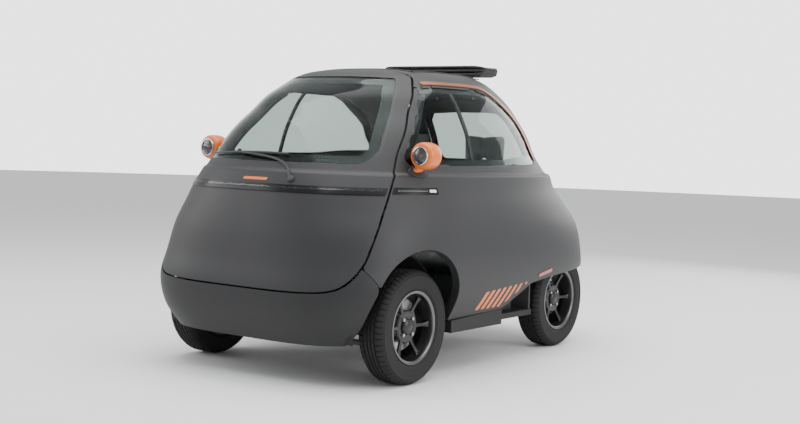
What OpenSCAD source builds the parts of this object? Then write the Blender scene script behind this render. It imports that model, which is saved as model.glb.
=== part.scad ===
// Two-seat bubble microcar with a front door, built as separate panels.
// X points to the car's left, the nose faces -Y, Z is up, sizes in millimetres.
// The origin is on the ground, under the middle of the car.

/* [Body] */
// Length over both bumpers
body_length = 2519; // [2100:1:3023]
// Width of the body at its widest height
body_width = 1473; // [1260:1:1768]
// Height of the roof crown above the ground
body_height = 1501; // [1300:1:1800]
// Thickness of the doors, side walls and bumpers
wall = 45; // [38:1:54]
// Thickness of the roof panel
roof_wall = 30; // [25:1:36]
// Gap around the front door and the tailgate
door_gap = 7; // [5.5:0.5:9]
// Gap between panels that are fixed to each other
panel_gap = 0.6; // [0.3:0.1:0.9]
// Thickness of the window glass
glass_thickness = 5; // [4:0.5:7]
// Depth of the glass below the body skin
glass_inset = 3; // [2:0.5:6]
// Radius of the corners of the windscreen
screen_corner = 40; // [30:1:45]
// Radius of the corners of the side windows
side_corner = 30; // [20:1:35]
// Height of the light bars across the nose and the tail
light_bar_height = 34; // [25:1:42]

/* [Wheels] */
// Distance between the front and the rear axle
wheelbase = 1566; // [1350:1:1850]
// Position of the front axle along the car
front_axle_y = -750; // [-780:1:-720]
// Distance between the middles of the front tyres
front_track = 1201; // [1150:1:1230]
// Distance between the middles of the rear tyres
rear_track = 1011; // [960:1:1050]
// Outer diameter of the tyres
tyre_diameter = 533; // [500:1:545]
// Width of the tyres
tyre_width = 145; // [121:1:155]
// Diameter of the rim where the tyre sits
rim_diameter = 330; // [300:1:356]
// Radius of the front wheel arch
arch_radius = 312; // [300:1:325]
// Diameter of the hole in the middle of the rim
hub_bore = 60; // [54:1:66]
// Diameter of the circle of wheel bolt holes
bolt_circle = 100; // [98:1:112]
// Diameter of each wheel bolt hole
bolt_hole = 13; // [12:0.5:15]

/* [Cabin] */
// Height of the cabin floor above the ground
floor_height = 235; // [215:1:260]
// Thickness of the floor plate
floor_thickness = 30; // [20:1:35]
// Width of the bench seat
bench_width = 1000; // [860:1:1060]
// Height of the top of the seat cushion
seat_height = 560; // [500:1:620]
// Thickness of the seat cushion
cushion_thickness = 120; // [90:1:140]
// Outer diameter of the steering wheel
steering_diameter = 350; // [320:1:380]

/* [Fittings] */
// Outer diameter of the round lamp housings
pod_diameter = 127; // [110:1:140]
// Width of the number plates
plate_width = 340; // [300:1:520]
// Height of the number plates
plate_height = 110; // [90:1:130]
// Diameter of the hinge pins
pin_diameter = 10; // [8:1:12]
// Running clearance between a hinge pin and its eye
pin_clearance = 0.1; // [0.05:0.05:0.3]

/* [Hidden] */

// How far the body is stretched from the size that its sections are drawn at
stretch_x = body_width / 1473;
stretch_y = body_length / 2519;
stretch_z = body_height / 1501;
// Height about which the inner skins shrink
core_height = 700 * stretch_z;
// Number of points around each horizontal section
ring_points = 56;
// Step between the rings, as a share of the distance between two sections
ring_step = 0.5;
// A length that reaches past the body on every side
far = 2 * body_length;
// Half of the gap at the door and the tailgate
half_gap = door_gap / 2;
// Play between a fixed piece and what it is seated in
seat_play = 0.3;

// Horizontal sections of the body below the belt line, in the drawn size:
// [height, nose, tail, half width, widest point, nose fullness, tail fullness]
LOWER_SECTIONS = [
    [190, -1200, 1130, 590, -420, 4.2, 3.4],
    [300, -1248, 1215, 655, -420, 4.6, 4.0],
    [430, -1259, 1250, 715, -420, 4.2, 4.0],
    [560, -1234, 1252, 736.5, -400, 3.6, 3.6],
    [690, -1212, 1233, 730, -380, 3.3, 3.3],
    [800, -1184, 1182, 713, -340, 3.0, 2.8],
    [890, -1153, 1120, 692, -300, 2.9, 2.5],
    [970, -1112, 1066, 674, -260, 2.8, 2.5]
];
// The same above the belt line, where the glass stands a little further in
UPPER_SECTIONS = [
    [970, -1102, 1048, 657, -240, 2.9, 2.4],
    [1070, -1032, 973, 629, -200, 2.9, 2.2],
    [1170, -942, 893, 598, -160, 2.9, 2.2],
    [1260, -845, 797, 556, -120, 2.8, 2.2],
    [1335, -760, 698, 514, -70, 2.9, 2.2],
    [1395, -662, 592, 466, -30, 2.9, 2.2],
    [1440, -580, 482, 418, 10, 3.0, 2.2],
    [1472, -470, 373, 342, 40, 3.0, 2.3],
    [1493, -240, 247, 226, 50, 2.3, 2.3]
];
// The crown of the roof
CROWN = [0, 60 * stretch_y, body_height];

// Seam of the front door seen from the side, from the roof down to the nose: [y, z]
DOOR_SEAM = [
    [-416, 1600], [-416, 1440], [-572, 1296], [-708, 1141], [-774, 1061], [-823, 981],
    [-859, 933], [-939, 812], [-1021, 683], [-1082, 568], [-1148, 491], [-1200, 452],
    [-1260, 434], [-1500, 434]
];
// Seam of the tailgate seen from behind: [x, z]
HATCH_SEAM = [
    [-385, 1600], [-395, 1200], [-410, 760], [-404, 690], [-385, 655], [-350, 640],
    [350, 640], [385, 655], [404, 690], [410, 760], [395, 1200], [385, 1600]
];
// Where the top seam of the tailgate crosses the roof
hatch_top_y = 560 * stretch_y;
// Corner centres of the windscreen on the car's left, seen from the front: [x, z]
SCREEN_CORNERS = [
    [120, 1050], [450, 1050], [464, 1078], [440, 1165], [403, 1250], [370, 1325],
    [312, 1396], [120, 1400]
];
// Corner centres of the side windows: [y, z]
SIDE_CORNERS = [
    [-715, 1040], [-664, 1103], [-528, 1258], [-434, 1362], [-330, 1370], [20, 1372],
    [120, 1348], [205, 1306], [290, 1266], [358, 1222], [412, 1148], [492, 1066],
    [480, 1056], [-100, 1045]
];
// Corner centres of the rear window on the car's left: [x, z]
REAR_CORNERS = [[110, 1050], [288, 1050], [292, 1100], [278, 1180], [260, 1258], [232, 1292], [110, 1302]];
// Seam between the side panels and the rear bumper
rear_seam_y = 1003 * stretch_y;
rear_seam_z = 636 * stretch_z;
// Half width of the roof panel
roof_half = 330 * stretch_x;
// Height of the axles, and the place of the rear axle along the car
axle_z = tyre_diameter / 2;
rear_axle_y = front_axle_y + wheelbase;
// Where the side panels meet the front bumper, from the door seam to the wheel arch: [y, z]
bumper_end = front_axle_y - 285;
bumper_seam = [[bumper_end - 57, 556 * stretch_z], [bumper_end, 478 * stretch_z], [bumper_end, 0]];
// Lower edge of the side panels, from the front wheel arch over the rear wheel: [y, z]
side_edge = [
    [front_axle_y + arch_radius + 28, 265 * stretch_z],
    [rear_axle_y - 756, 286 * stretch_z],
    [rear_axle_y - 561, 407 * stretch_z],
    [rear_axle_y - 347, 430 * stretch_z],
    [rear_seam_y, 450 * stretch_z]
];
// Inner radius and wall of the front wheel housings, and how far out they reach
liner_radius = tyre_diameter / 2 + 63;
liner_wall = 6;
housing_outer = 560 * stretch_x;

// ---------- outlines ----------

function along_side(points) = [for (p = points) [p[0] * stretch_y, p[1] * stretch_z]];
function along_front(points) = [for (p = points) [p[0] * stretch_x, p[1] * stretch_z]];
function reversed(points) = [for (i = [len(points) - 1 : -1 : 0]) points[i]];
function both_sides(points) = concat(points, [for (p = reversed(points)) [-p[0], p[1]]]);

// Turns a flat drawing of [y, z] into a prism across the car, from x = low to x = high
module side_view(low = -far, high = far) {
    translate([low, 0, 0]) rotate([90, 0, 90]) linear_extrude(high - low) children();
}

// Turns a flat drawing of [x, z] into a prism along the car, from y = low to y = high
module front_view(low = -far, high = far) {
    translate([0, high, 0]) rotate([90, 0, 0]) linear_extrude(high - low) children();
}

// An outline with round corners, filled from its middle
module rounded_outline(corners, radius, middle) {
    for (i = [0 : len(corners) - 1]) {
        hull() {
            translate(corners[i]) circle(r = radius, $fn = 24);
            translate(corners[(i + 1) % len(corners)]) circle(r = radius, $fn = 24);
            translate(middle) circle(r = radius, $fn = 24);
        }
    }
}

// A line of even width along a path
module stroke(path, width) {
    for (i = [0 : len(path) - 2]) {
        hull() {
            translate(path[i]) circle(d = width, $fn = 12);
            translate(path[i + 1]) circle(d = width, $fn = 12);
        }
    }
}

module screen_outline(play) {
    corners = both_sides(along_front(SCREEN_CORNERS));
    rounded_outline(corners, screen_corner - play, [0, 1225 * stretch_z]);
}

module side_outline(play) {
    rounded_outline(along_side(SIDE_CORNERS), side_corner - play, [-100 * stretch_y, 1190 * stretch_z]);
}

module rear_outline(play) {
    rounded_outline(both_sides(along_front(REAR_CORNERS)), 40 - play, [0, 1170 * stretch_z]);
}

// The part of the side view that lies ahead of the door seam
module ahead_of_seam() {
    seam = along_side(DOOR_SEAM);
    polygon(concat(seam, [[-far, seam[len(seam) - 1][1]], [-far, far], [seam[0][0], far]]));
}

// ---------- body skin ----------

function row(rows, i) =
    i < 0 ? 2 * rows[0] - rows[1] :
    i >= len(rows) ? 2 * rows[len(rows) - 1] - rows[len(rows) - 2] :
    rows[i];
function smooth(a, b, c, d, f) =
    0.5 * (2 * b + (c - a) * f + (2 * a - 5 * b + 4 * c - d) * f * f + (3 * b - a - 3 * c + d) * f * f * f);
function section(rows, t) =
    let (i = min(floor(t), len(rows) - 2), f = t - i)
    smooth(row(rows, i - 1), row(rows, i), row(rows, i + 1), row(rows, i + 2), f);
function rounded_power(v, p) = sign(v) * pow(abs(v), p);
function ring(s) = [
    for (j = [0 : ring_points - 1])
    let (
        angle = 360 * j / ring_points,
        ahead = angle > 180,
        fullness = ahead ? s[5] : s[6],
        reach = ahead ? s[4] - s[1] : s[2] - s[4]
    )
    [
        stretch_x * s[3] * rounded_power(cos(angle), 2 / fullness),
        stretch_y * (s[4] + reach * rounded_power(sin(angle), 2 / fullness)),
        stretch_z * s[0]
    ]
];
function rings(rows) = [for (t = [0 : ring_step : len(rows) - 1]) each ring(section(rows, t))];

// The outer shape of the whole body, with every side moved in by depth
module body_solid(depth) {
    points = concat(rings(LOWER_SECTIONS), rings(UPPER_SECTIONS), [CROWN]);
    last = len(points) - 1;
    count = last / ring_points;
    floor_face = [[for (j = [0 : ring_points - 1]) j]];
    sides = [
        for (i = [0 : count - 2], j = [0 : ring_points - 1])
        let (a = i * ring_points + j, b = i * ring_points + (j + 1) % ring_points)
        each [[a, a + ring_points, b + ring_points], [a, b + ring_points, b]]
    ];
    top = [
        for (j = [0 : ring_points - 1])
        [last - ring_points + j, last, last - ring_points + (j + 1) % ring_points]
    ];
    shrink = [
        1 - 2 * depth / body_width,
        1 - 2 * depth / body_length,
        1 - depth / (body_height - core_height)
    ];
    translate([0, 0, core_height]) scale(shrink) translate([0, 0, -core_height])
        polyhedron(points, concat(floor_face, sides, top));
}

// The layer of the body between two depths below its surface
module skin(outer, inner) {
    difference() {
        body_solid(outer);
        body_solid(inner);
    }
}

// ---------- front door ----------

// The hinge line of the front door, upright, inside the car's left flank
hinge_x = 620 * stretch_x;
hinge_y = -850 * stretch_y;
// Each hinge of the front door: its height, and how far ahead of the pin its arm ends
HINGES = [[768 * stretch_z, -222 * stretch_y], [814 * stretch_z, -200 * stretch_y]];
// Height of the pocket in the side wall that each hinge swings in
pocket_height = 40;
// Radius around the hinge pin that the pocket leaves free
pocket_reach = 175;
// Thickness of the skin that is left outside a hinge pocket
pocket_skin = 6;
// Height and width of the hinge arms
arm_height = 20;
arm_width = 18;
// Corner of the bent hinge arm, from the pin
arm_bend = [-130, 65];

module front_door() {
    color("#4a4a4c") difference() {
        intersection() {
            skin(0, wall);
            side_view() ahead_of_seam();
        }
        side_view() stroke(along_side(DOOR_SEAM), door_gap);
        front_view(-far, 0) screen_outline(0);
        for (hinge = HINGES) {
            translate([hinge_x, hinge_y, hinge[0] - arm_height / 2]) arm_end(hinge[1], seat_play);
        }
    }
}

module windscreen() {
    color("#9fb3ae") intersection() {
        skin(glass_inset, glass_inset + glass_thickness);
        front_view(-far, 0) screen_outline(seat_play);
    }
}

// Height of the middle of the light bars
light_bar_z = 890 * stretch_z;
// How far the light bars stand proud of the body
light_bar_proud = 4;

module front_light_bar() {
    color("#141414") difference() {
        intersection() {
            skin(-light_bar_proud, -seat_play);
            side_view() ahead_of_seam();
            translate([-far, -far, light_bar_z - light_bar_height / 2])
                cube([2 * far, far, light_bar_height]);
        }
        side_view() stroke(along_side(DOOR_SEAM), door_gap + 8);
    }
}

// Path of the wiper arm over the glass, and of its blade: [x, z]
WIPER_ARM = [
    [209, 933], [190, 955], [165, 978], [130, 1000], [80, 1016], [20, 1026], [-60, 1034], [-160, 1040]
];
WIPER_BLADE = [[-400, 1030], [-160, 1044], [130, 1044]];

module wiper() {
    color("#101010") intersection() {
        skin(-12, -seat_play);
        front_view(-far, 0) {
            stroke(along_front(WIPER_ARM), 14);
            stroke(along_front(WIPER_BLADE), 12);
            translate(along_front(WIPER_ARM)[0]) circle(r = 16, $fn = 24);
        }
    }
}

// Depth of the feet of the number plate, which are cut off at the bumper
plate_foot = 4;

// Number plate board with two screw holes and feet that reach the body
module plate_board(foot) {
    hole_pitch = plate_width - 40;
    difference() {
        union() {
            translate([-plate_width / 2, 0, 0]) cube([plate_width, 6, plate_height]);
            for (side = [-1, 1]) {
                translate([side * hole_pitch / 4 - 15, 6, plate_height / 2 - 20]) cube([30, foot, 40]);
            }
        }
        for (side = [-1, 1]) {
            translate([side * hole_pitch / 2, -1, plate_height / 2])
                rotate([-90, 0, 0]) cylinder(d = 6, h = 8, $fn = 32);
        }
    }
}

// The straight end of a hinge arm, which is let into the door
module arm_end(end, play) {
    translate([arm_bend[0] - arm_width / 2 - play, end - play, -play])
        cube([arm_width + 2 * play, arm_bend[1] - end + play, arm_height + 2 * play]);
}

module door_hinges() {
    eye_radius = pin_diameter / 2 + 6;
    color("#2b2b2b") for (hinge = HINGES) {
        translate([hinge_x, hinge_y, hinge[0] - arm_height / 2]) difference() {
            union() {
                cylinder(r = eye_radius, h = arm_height, $fn = 48);
                translate(arm_bend) cylinder(d = arm_width, h = arm_height, $fn = 32);
                rotate([0, 0, atan2(arm_bend[1], arm_bend[0])])
                    translate([0, -arm_width / 2, 0]) cube([norm(arm_bend), arm_width, arm_height]);
                arm_end(hinge[1], 0);
            }
            translate([0, 0, -1])
                cylinder(r = pin_diameter / 2 + pin_clearance, h = arm_height + 2, $fn = 48);
        }
    }
}

// The space in the side wall that a hinge arm swings through
module hinge_pocket() {
    intersection() {
        body_solid(pocket_skin);
        for (hinge = HINGES) {
            translate([hinge_x, hinge_y, hinge[0] - pocket_height / 2])
                cylinder(r = pocket_reach, h = pocket_height, $fn = 48);
        }
    }
}

// ---------- fixed panels ----------

// The space that the tailgate fills, grown by a margin
module hatch_space(margin) {
    seam = along_front(HATCH_SEAM);
    front_view(hatch_top_y - margin, far) {
        polygon(seam);
        stroke(seam, 2 * margin);
    }
}

// A wheel arch of the front axle, cut through the side of the body
module front_arch() {
    arch_z = arch_radius + 6;
    for (side = [-1, 1]) {
        translate([side < 0 ? -far : 400, front_axle_y, 0]) {
            translate([0, 0, arch_z]) rotate([0, 90, 0]) cylinder(r = arch_radius, h = far - 400, $fn = 72);
            translate([0, -arch_radius, 0]) cube([far - 400, 2 * arch_radius, arch_z]);
        }
    }
}

// The room inside the body that the front wheel housings and the rear tyres need
module wheel_room() {
    rear_outer = rear_track / 2 + tyre_width / 2 + 8;
    for (side = [-1, 1]) {
        translate([side < 0 ? -housing_outer - 5 : 0, front_axle_y, axle_z]) rotate([0, 90, 0])
            cylinder(r = liner_radius + liner_wall + seat_play, h = housing_outer + 5, $fn = 96);
        translate([side < 0 ? -rear_outer : 0, rear_axle_y, axle_z]) rotate([0, 90, 0])
            cylinder(r = tyre_diameter / 2 + 20, h = rear_outer, $fn = 72);
    }
}

// The part of the side view that the front bumper fills, below the door
module bumper_region(play) {
    seam = along_side([for (p = DOOR_SEAM) if (p[1] < 556) p]);
    edge = [for (p = bumper_seam) p - [play, 0]];
    polygon(concat([[-far, seam[len(seam) - 1][1]]], reversed(seam), edge, [[-far, edge[2][1]]]));
}

module front_bumper() {
    color("#3e3e40") difference() {
        intersection() {
            skin(0, wall);
            side_view() bumper_region(panel_gap);
        }
        side_view() stroke(along_side(DOOR_SEAM), door_gap);
        front_arch();
        wheel_room();
    }
}

// The part of the side view that lies below the side panels
module below_side_edge() {
    ends = [[far, side_edge[4][1]], [far, 0], [-far, 0], [-far, side_edge[0][1]]];
    polygon(concat(side_edge, ends));
}

module side_panel_left() {
    color("#4a4a4c") difference() {
        intersection() {
            skin(0, wall);
            translate([roof_half, -far, 0]) cube(2 * far);
        }
        side_view() ahead_of_seam();
        side_view() stroke(along_side(DOOR_SEAM), door_gap);
        side_view() bumper_region(0);
        side_view() side_outline(0);
        side_view() below_side_edge();
        side_view() translate([rear_seam_y, 0]) square([far, rear_seam_z]);
        hatch_space(half_gap);
        front_arch();
        wheel_room();
        hinge_pocket();
    }
}

module side_panel_right() {
    color("#4a4a4c") difference() {
        intersection() {
            skin(0, wall);
            translate([-roof_half - 2 * far, -far, 0]) cube(2 * far);
        }
        side_view() ahead_of_seam();
        side_view() stroke(along_side(DOOR_SEAM), door_gap);
        side_view() bumper_region(0);
        side_view() side_outline(0);
        side_view() below_side_edge();
        side_view() translate([rear_seam_y, 0]) square([far, rear_seam_z]);
        hatch_space(half_gap);
        front_arch();
        wheel_room();
    }
}

// Corner centres of the roof opening, seen from above, and their radius
OPENING_CORNERS = [
    [0, -270], [230, -270], [230, -40], [230, 190], [0, 190], [-230, 190], [-230, -40], [-230, -270]
];
opening_radius = 60;

module roof_panel() {
    corners = [for (p = OPENING_CORNERS) [p[0] * stretch_x, p[1] * stretch_y]];
    front_edge = DOOR_SEAM[0][0] * stretch_y + half_gap;
    color("#4a4a4c") difference() {
        intersection() {
            skin(0, roof_wall);
            translate([-roof_half + panel_gap, front_edge, core_height])
                cube([2 * (roof_half - panel_gap), hatch_top_y - half_gap - front_edge, far]);
        }
        linear_extrude(far) rounded_outline(corners, opening_radius, [0, -40 * stretch_y]);
        at_hatch_hinges() {
            for (end = [-1, 1]) {
                translate([end * (hatch_eye / 2 + 15), 0, 0]) hinge_tab(-1, 10, seat_play);
            }
        }
    }
}

// Size of the folded fabric roof
stack_depth = 200;
stack_thickness = 46;
stack_width = 680;
stack_top = body_height + 29;

module fabric_roof() {
    rear = 470 * stretch_y;
    color("#151515") difference() {
        translate([-stack_width / 2, rear - stack_depth, stack_top - stack_thickness])
            cube([stack_width, stack_depth, stack_thickness]);
        body_solid(-seat_play);
    }
}

module side_glass(side) {
    color("#9fb3ae") intersection() {
        skin(glass_inset, glass_inset + glass_thickness);
        side_view(side < 0 ? -far : 0, side < 0 ? 0 : far) side_outline(seat_play);
    }
}

module side_window_left() {
    side_glass(1);
}

module side_window_right() {
    side_glass(-1);
}

// Path of the coloured strip over the side windows: [y, z]
STRIP_PATH = [
    [-405, 1407], [-330, 1411], [20, 1413], [137, 1387], [225, 1342], [312, 1300], [390, 1247],
    [450, 1165], [536, 1058]
];

module drip_strips() {
    color("#e0701c") intersection() {
        skin(-5, -seat_play);
        union() {
            side_view(200, far) stroke(along_side(STRIP_PATH), 12);
            side_view(-far, -200) stroke(along_side(STRIP_PATH), 12);
        }
    }
}

// Middle of the lamp housings
pod_x = 690 * stretch_x;
pod_y = -680 * stretch_y;
pod_z = 1058 * stretch_z;
// Length of the lamp housings
pod_length = 105;
// Foot of the lamp housings on the side of the car: [y, z]
POD_FOOT = [
    [-720, 1020], [-716, 1030], [-712, 1040], [-706, 1050], [-700, 1060], [-692, 1068],
    [-684, 1076], [-676, 1084], [-668, 1090], [-640, 1040]
];

module lamp_pods() {
    color("#e0701c") for (side = [-1, 1]) {
        translate([side * pod_x, pod_y - pod_length / 2, pod_z])
            rotate([-90, 0, 0]) cylinder(d = pod_diameter, h = pod_length, $fn = 64);
        intersection() {
            skin(-45, -seat_play);
            side_view(side < 0 ? -far : 0, side < 0 ? 0 : far) stroke(along_side(POD_FOOT), 22);
        }
    }
}

module lamp_lenses() {
    lens_depth = 12;
    color("#b9c0c0") for (side = [-1, 1]) {
        translate([side * pod_x, pod_y - pod_length / 2 - seat_play - lens_depth, pod_z])
            rotate([-90, 0, 0]) cylinder(d = pod_diameter - 30, h = lens_depth, $fn = 64);
    }
}

// Lower and front edges of the rear bumper, seen from the side: [y, z]
REAR_EDGE = [[1003, 450], [1100, 430], [1400, 400], [1400, 636], [1003, 636]];

module rear_bumper() {
    edge = along_side(REAR_EDGE);
    seam = [[edge[0][0], 0], [edge[0][0], edge[3][1]], [far / 2, edge[3][1]]];
    color("#3e3e40") difference() {
        intersection() {
            skin(0, wall);
            side_view() polygon(edge);
        }
        side_view() stroke(seam, 2 * panel_gap);
        hatch_space(half_gap);
        wheel_room();
    }
}

module rear_plate() {
    color("#d8d8d4") difference() {
        translate([0, body_length / 2, 500 * stretch_z])
            rotate([0, 0, 180]) plate_board(plate_foot);
        body_solid(-seat_play);
    }
}

// ---------- tailgate ----------

// The hinge line of the tailgate lies just over the roof
hatch_hinge_z = 1409 * stretch_z + 9;
// How far the hinges of the tailgate stand from the middle
hatch_hinge_x = 150;
// Width of one hinge eye
hatch_eye = 26;

module rear_hatch() {
    color("#4a4a4c") difference() {
        intersection() {
            skin(0, wall);
            front_view(hatch_top_y + half_gap, far) polygon(along_front(HATCH_SEAM));
        }
        front_view() stroke(along_front(HATCH_SEAM), door_gap);
        front_view(0, far) rear_outline(0);
        at_hatch_hinges() hinge_tab(1, hatch_eye, seat_play);
    }
}

module rear_window() {
    color("#9fb3ae") intersection() {
        skin(glass_inset, glass_inset + glass_thickness);
        front_view(0, far) rear_outline(seat_play);
    }
}

module rear_light_bar() {
    color("#7a1512") difference() {
        intersection() {
            skin(-light_bar_proud, -seat_play);
            front_view(hatch_top_y, far) polygon(along_front(HATCH_SEAM));
            translate([-far, 0, light_bar_z - light_bar_height / 2]) cube([2 * far, far, light_bar_height]);
        }
        front_view() stroke(along_front(HATCH_SEAM), door_gap + 16);
    }
}

// Radius of the hinge eyes
eye_radius = pin_diameter / 2 + 4;
// Thickness of the hinge straps, their reach from the pin, and how deep their tabs go
strap = 6;
strap_reach = 32;
tab_depth = 44;

// The tab of a tailgate hinge that is let into the panel on the side that direction points to
module hinge_tab(direction, width, play) {
    tab_y = direction < 0 ? -strap_reach : strap_reach - strap;
    translate([-width / 2 - play, tab_y - play, -tab_depth - play])
        cube([width + 2 * play, strap + 2 * play, tab_depth + play]);
}

// Puts a part at both hinges of the tailgate
module at_hatch_hinges() {
    for (x = [-hatch_hinge_x, hatch_hinge_x]) {
        translate([x, hatch_top_y, hatch_hinge_z]) children();
    }
}

module hatch_hinges() {
    color("#1c1c1c") at_hatch_hinges() difference() {
        union() {
            translate([-hatch_eye / 2, 0, 0]) rotate([0, 90, 0])
                cylinder(r = eye_radius, h = hatch_eye, $fn = 48);
            translate([-hatch_eye / 2, 0, 0]) cube([hatch_eye, strap_reach, strap]);
            hinge_tab(1, hatch_eye, 0);
        }
        translate([-hatch_eye, 0, 0]) rotate([0, 90, 0])
            cylinder(r = pin_diameter / 2 + pin_clearance, h = 2 * hatch_eye, $fn = 48);
    }
}

module hinge_pins() {
    pin_length = pocket_height - 2 * seat_play;
    hatch_pin = hatch_eye + 40;
    color("#2b2b2b") {
        for (hinge = HINGES) {
            translate([hinge_x, hinge_y, hinge[0] - pin_length / 2])
                cylinder(d = pin_diameter, h = pin_length, $fn = 48);
        }
        at_hatch_hinges() {
            translate([-hatch_pin / 2, 0, 0]) rotate([0, 90, 0])
                cylinder(d = pin_diameter, h = hatch_pin, $fn = 48);
            for (end = [-1, 1]) {
                translate([end * (hatch_pin / 2 - 5), 0, 0]) {
                    translate([-5, -strap_reach, -3]) cube([10, strap_reach + 3, strap]);
                    hinge_tab(-1, 10, 0);
                }
            }
        }
    }
}

// ---------- floor and inside ----------

sill_outer = 645 * stretch_x;
sill_inner = 560 * stretch_x;
// Front and rear end of the wide floor
floor_front = front_axle_y + arch_radius + 45;
floor_rear = rear_axle_y - 301;
floor_nose = bumper_end + 0.5;
// Half width of the footwell between the wheel housings
footwell = 373 * stretch_x;

module sills() {
    edge = side_edge;
    low = floor_height - floor_thickness;
    color("#1a1a1a") {
        for (side = [-1, 1]) {
            side_view(side < 0 ? -sill_outer : sill_inner, side < 0 ? -sill_inner : sill_outer)
                polygon([
                    [edge[0][0], low], [edge[1][0], low], [edge[1][0], edge[1][1] - seat_play],
                    [edge[0][0], edge[0][1] - seat_play]
                ]);
        }
    }
}

module floor_pan() {
    low = floor_height - floor_thickness;
    color("#232323") {
        translate([-sill_inner + seat_play, floor_front, low])
            cube([2 * (sill_inner - seat_play), floor_rear - floor_front, floor_thickness]);
        translate([-footwell, floor_nose, low])
            cube([2 * footwell, floor_front - floor_nose, floor_thickness]);
        for (side = [-1, 1]) {
            wheel_house(side);
        }
    }
}

module wheel_house(side) {
    low = floor_height - floor_thickness;
    width = housing_outer - footwell + liner_wall;
    translate([side < 0 ? -housing_outer : footwell - liner_wall, front_axle_y, 0]) intersection() {
        translate([0, 0, axle_z]) rotate([0, 90, 0]) difference() {
            cylinder(r = liner_radius + liner_wall, h = width, $fn = 96);
            translate([0, 0, side < 0 ? -1 : 2 * liner_wall])
                cylinder(r = liner_radius, h = width - 2 * liner_wall + 1, $fn = 96);
        }
        translate([-1, -far, low]) cube([width + 2, 2 * far, far]);
    }
}

// Height of the boot floor and its length
boot_height = 580 * stretch_z;
boot_rear = 1120 * stretch_y;
boot_half = 380 * stretch_x;

module boot_floor() {
    color("#262626") {
        translate([-sill_inner + 20, floor_rear + seat_play, floor_height - floor_thickness])
            cube([2 * sill_inner - 40, 15, boot_height - floor_height + floor_thickness]);
        translate([-boot_half, floor_rear + 10, boot_height - 20])
            cube([2 * boot_half, boot_rear - floor_rear - 10, 20]);
    }
}

// Position of the seat along the car
seat_rear = floor_rear - 85;
seat_front = seat_rear - 490;
back_thickness = 70;
back_height = 440;

module bench_base() {
    color("#2a2a2a") translate([-bench_width / 2 + 20, seat_front + 30, floor_height + seat_play])
        cube([bench_width - 40, seat_rear - seat_front - 30,
            seat_height - cushion_thickness - floor_height - 2 * seat_play]);
}

module seat_cushion() {
    color("#33363a") translate([-bench_width / 2, seat_front, seat_height - cushion_thickness])
        cube([bench_width, seat_rear - seat_front, cushion_thickness]);
}

module seat_back() {
    color("#33363a") {
        translate([-bench_width / 2, seat_rear + seat_play, seat_height - cushion_thickness]) {
            cube([bench_width, back_thickness, back_height + cushion_thickness]);
            for (side = [-1, 1]) {
                head_x = bench_width / 2 + side * bench_width / 4 - 130;
                translate([head_x, 0, back_height + cushion_thickness])
                    cube([260, back_thickness, 170]);
            }
        }
    }
}

dash_half = 525 * stretch_x;
// Section of the dashboard: [y, z]
DASH_SECTION = [[-735, 900], [-725, 975], [-620, 990], [-565, 968], [-570, 905], [-650, 872]];

module dashboard() {
    color("#202020") difference() {
        union() {
            side_view(-dash_half, dash_half) polygon(along_side(DASH_SECTION));
            translate([-90, -700 * stretch_y, floor_height + seat_play])
                cube([180, 60, 660 * stretch_z - 10]);
        }
        column_tube(seat_play);
    }
}

// Middle of the steering wheel and the slope of its column
wheel_pos = [285 * stretch_x, -400 * stretch_y, 1010 * stretch_z];
column_slope = 24;
hub_depth = 50;
column_length = 165;
column_diameter = 56;

// The tube around the steering shaft, which is let into the dashboard
module column_tube(play) {
    translate(wheel_pos) rotate([90 + column_slope, 0, 0]) translate([0, 0, hub_depth])
        cylinder(d = column_diameter + 2 * play, h = column_length + play, $fn = 48);
}

module steering_column() {
    color("#181818") {
        column_tube(0);
        translate(wheel_pos) rotate([90 + column_slope, 0, 0]) cylinder(d = 20, h = hub_depth + 5, $fn = 48);
    }
}

module steering_wheel() {
    rim = 26;
    color("#101010") translate(wheel_pos) rotate([90 + column_slope, 0, 0]) difference() {
        union() {
            rotate_extrude($fn = 96) translate([(steering_diameter - rim) / 2, 0])
                circle(d = rim, $fn = 32);
            translate([0, 0, -10]) cylinder(d = 90, h = 40, $fn = 48);
            for (angle = [0, 180, 270]) {
                rotate([0, 0, angle]) translate([0, -14, 0]) cube([steering_diameter / 2 - rim / 2, 28, 10]);
            }
        }
        translate([0, 0, -1]) cylinder(d = 20.2, h = 60, $fn = 48);
    }
}

// ---------- running gear ----------

kingpin_x = front_track / 2 - 110;
subframe_low = 150;
spindle_radius = hub_bore / 2 - 0.3;
// How far the wheel disc stands outboard of the middle of the tyre
disc_offset = 8;
disc_thickness = 14;

module front_suspension() {
    floor_low = floor_height - floor_thickness;
    color("#2e2e2e") {
        translate([-250, front_axle_y - 50, subframe_low])
            cube([500, 100, floor_low - subframe_low - seat_play]);
        for (side = [-1, 1]) {
            translate([side < 0 ? -kingpin_x : 240, front_axle_y - 20, subframe_low])
                cube([kingpin_x - 240, 40, 20]);
            translate([side * kingpin_x, front_axle_y, subframe_low]) cylinder(r = 20, h = 20, $fn = 48);
            translate([side * kingpin_x, front_axle_y, 400 + seat_play])
                cylinder(r = 22, h = axle_z + liner_radius - 400 - 5, $fn = 48);
        }
    }
}

module knuckle(side) {
    reach = front_track / 2 - kingpin_x + disc_offset + disc_thickness;
    color("#3a3a3a") translate([side * kingpin_x, front_axle_y, 0]) {
        translate([0, 0, subframe_low + 20 + seat_play])
            cylinder(r = 20, h = 400 - subframe_low - 20 - seat_play, $fn = 48);
        translate([side < 0 ? -reach : 0, 0, axle_z]) rotate([0, 90, 0])
            cylinder(r = spindle_radius, h = reach, $fn = 48);
    }
}

module knuckle_left() {
    knuckle(1);
}

module knuckle_right() {
    knuckle(-1);
}

arm_x = 330;

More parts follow.
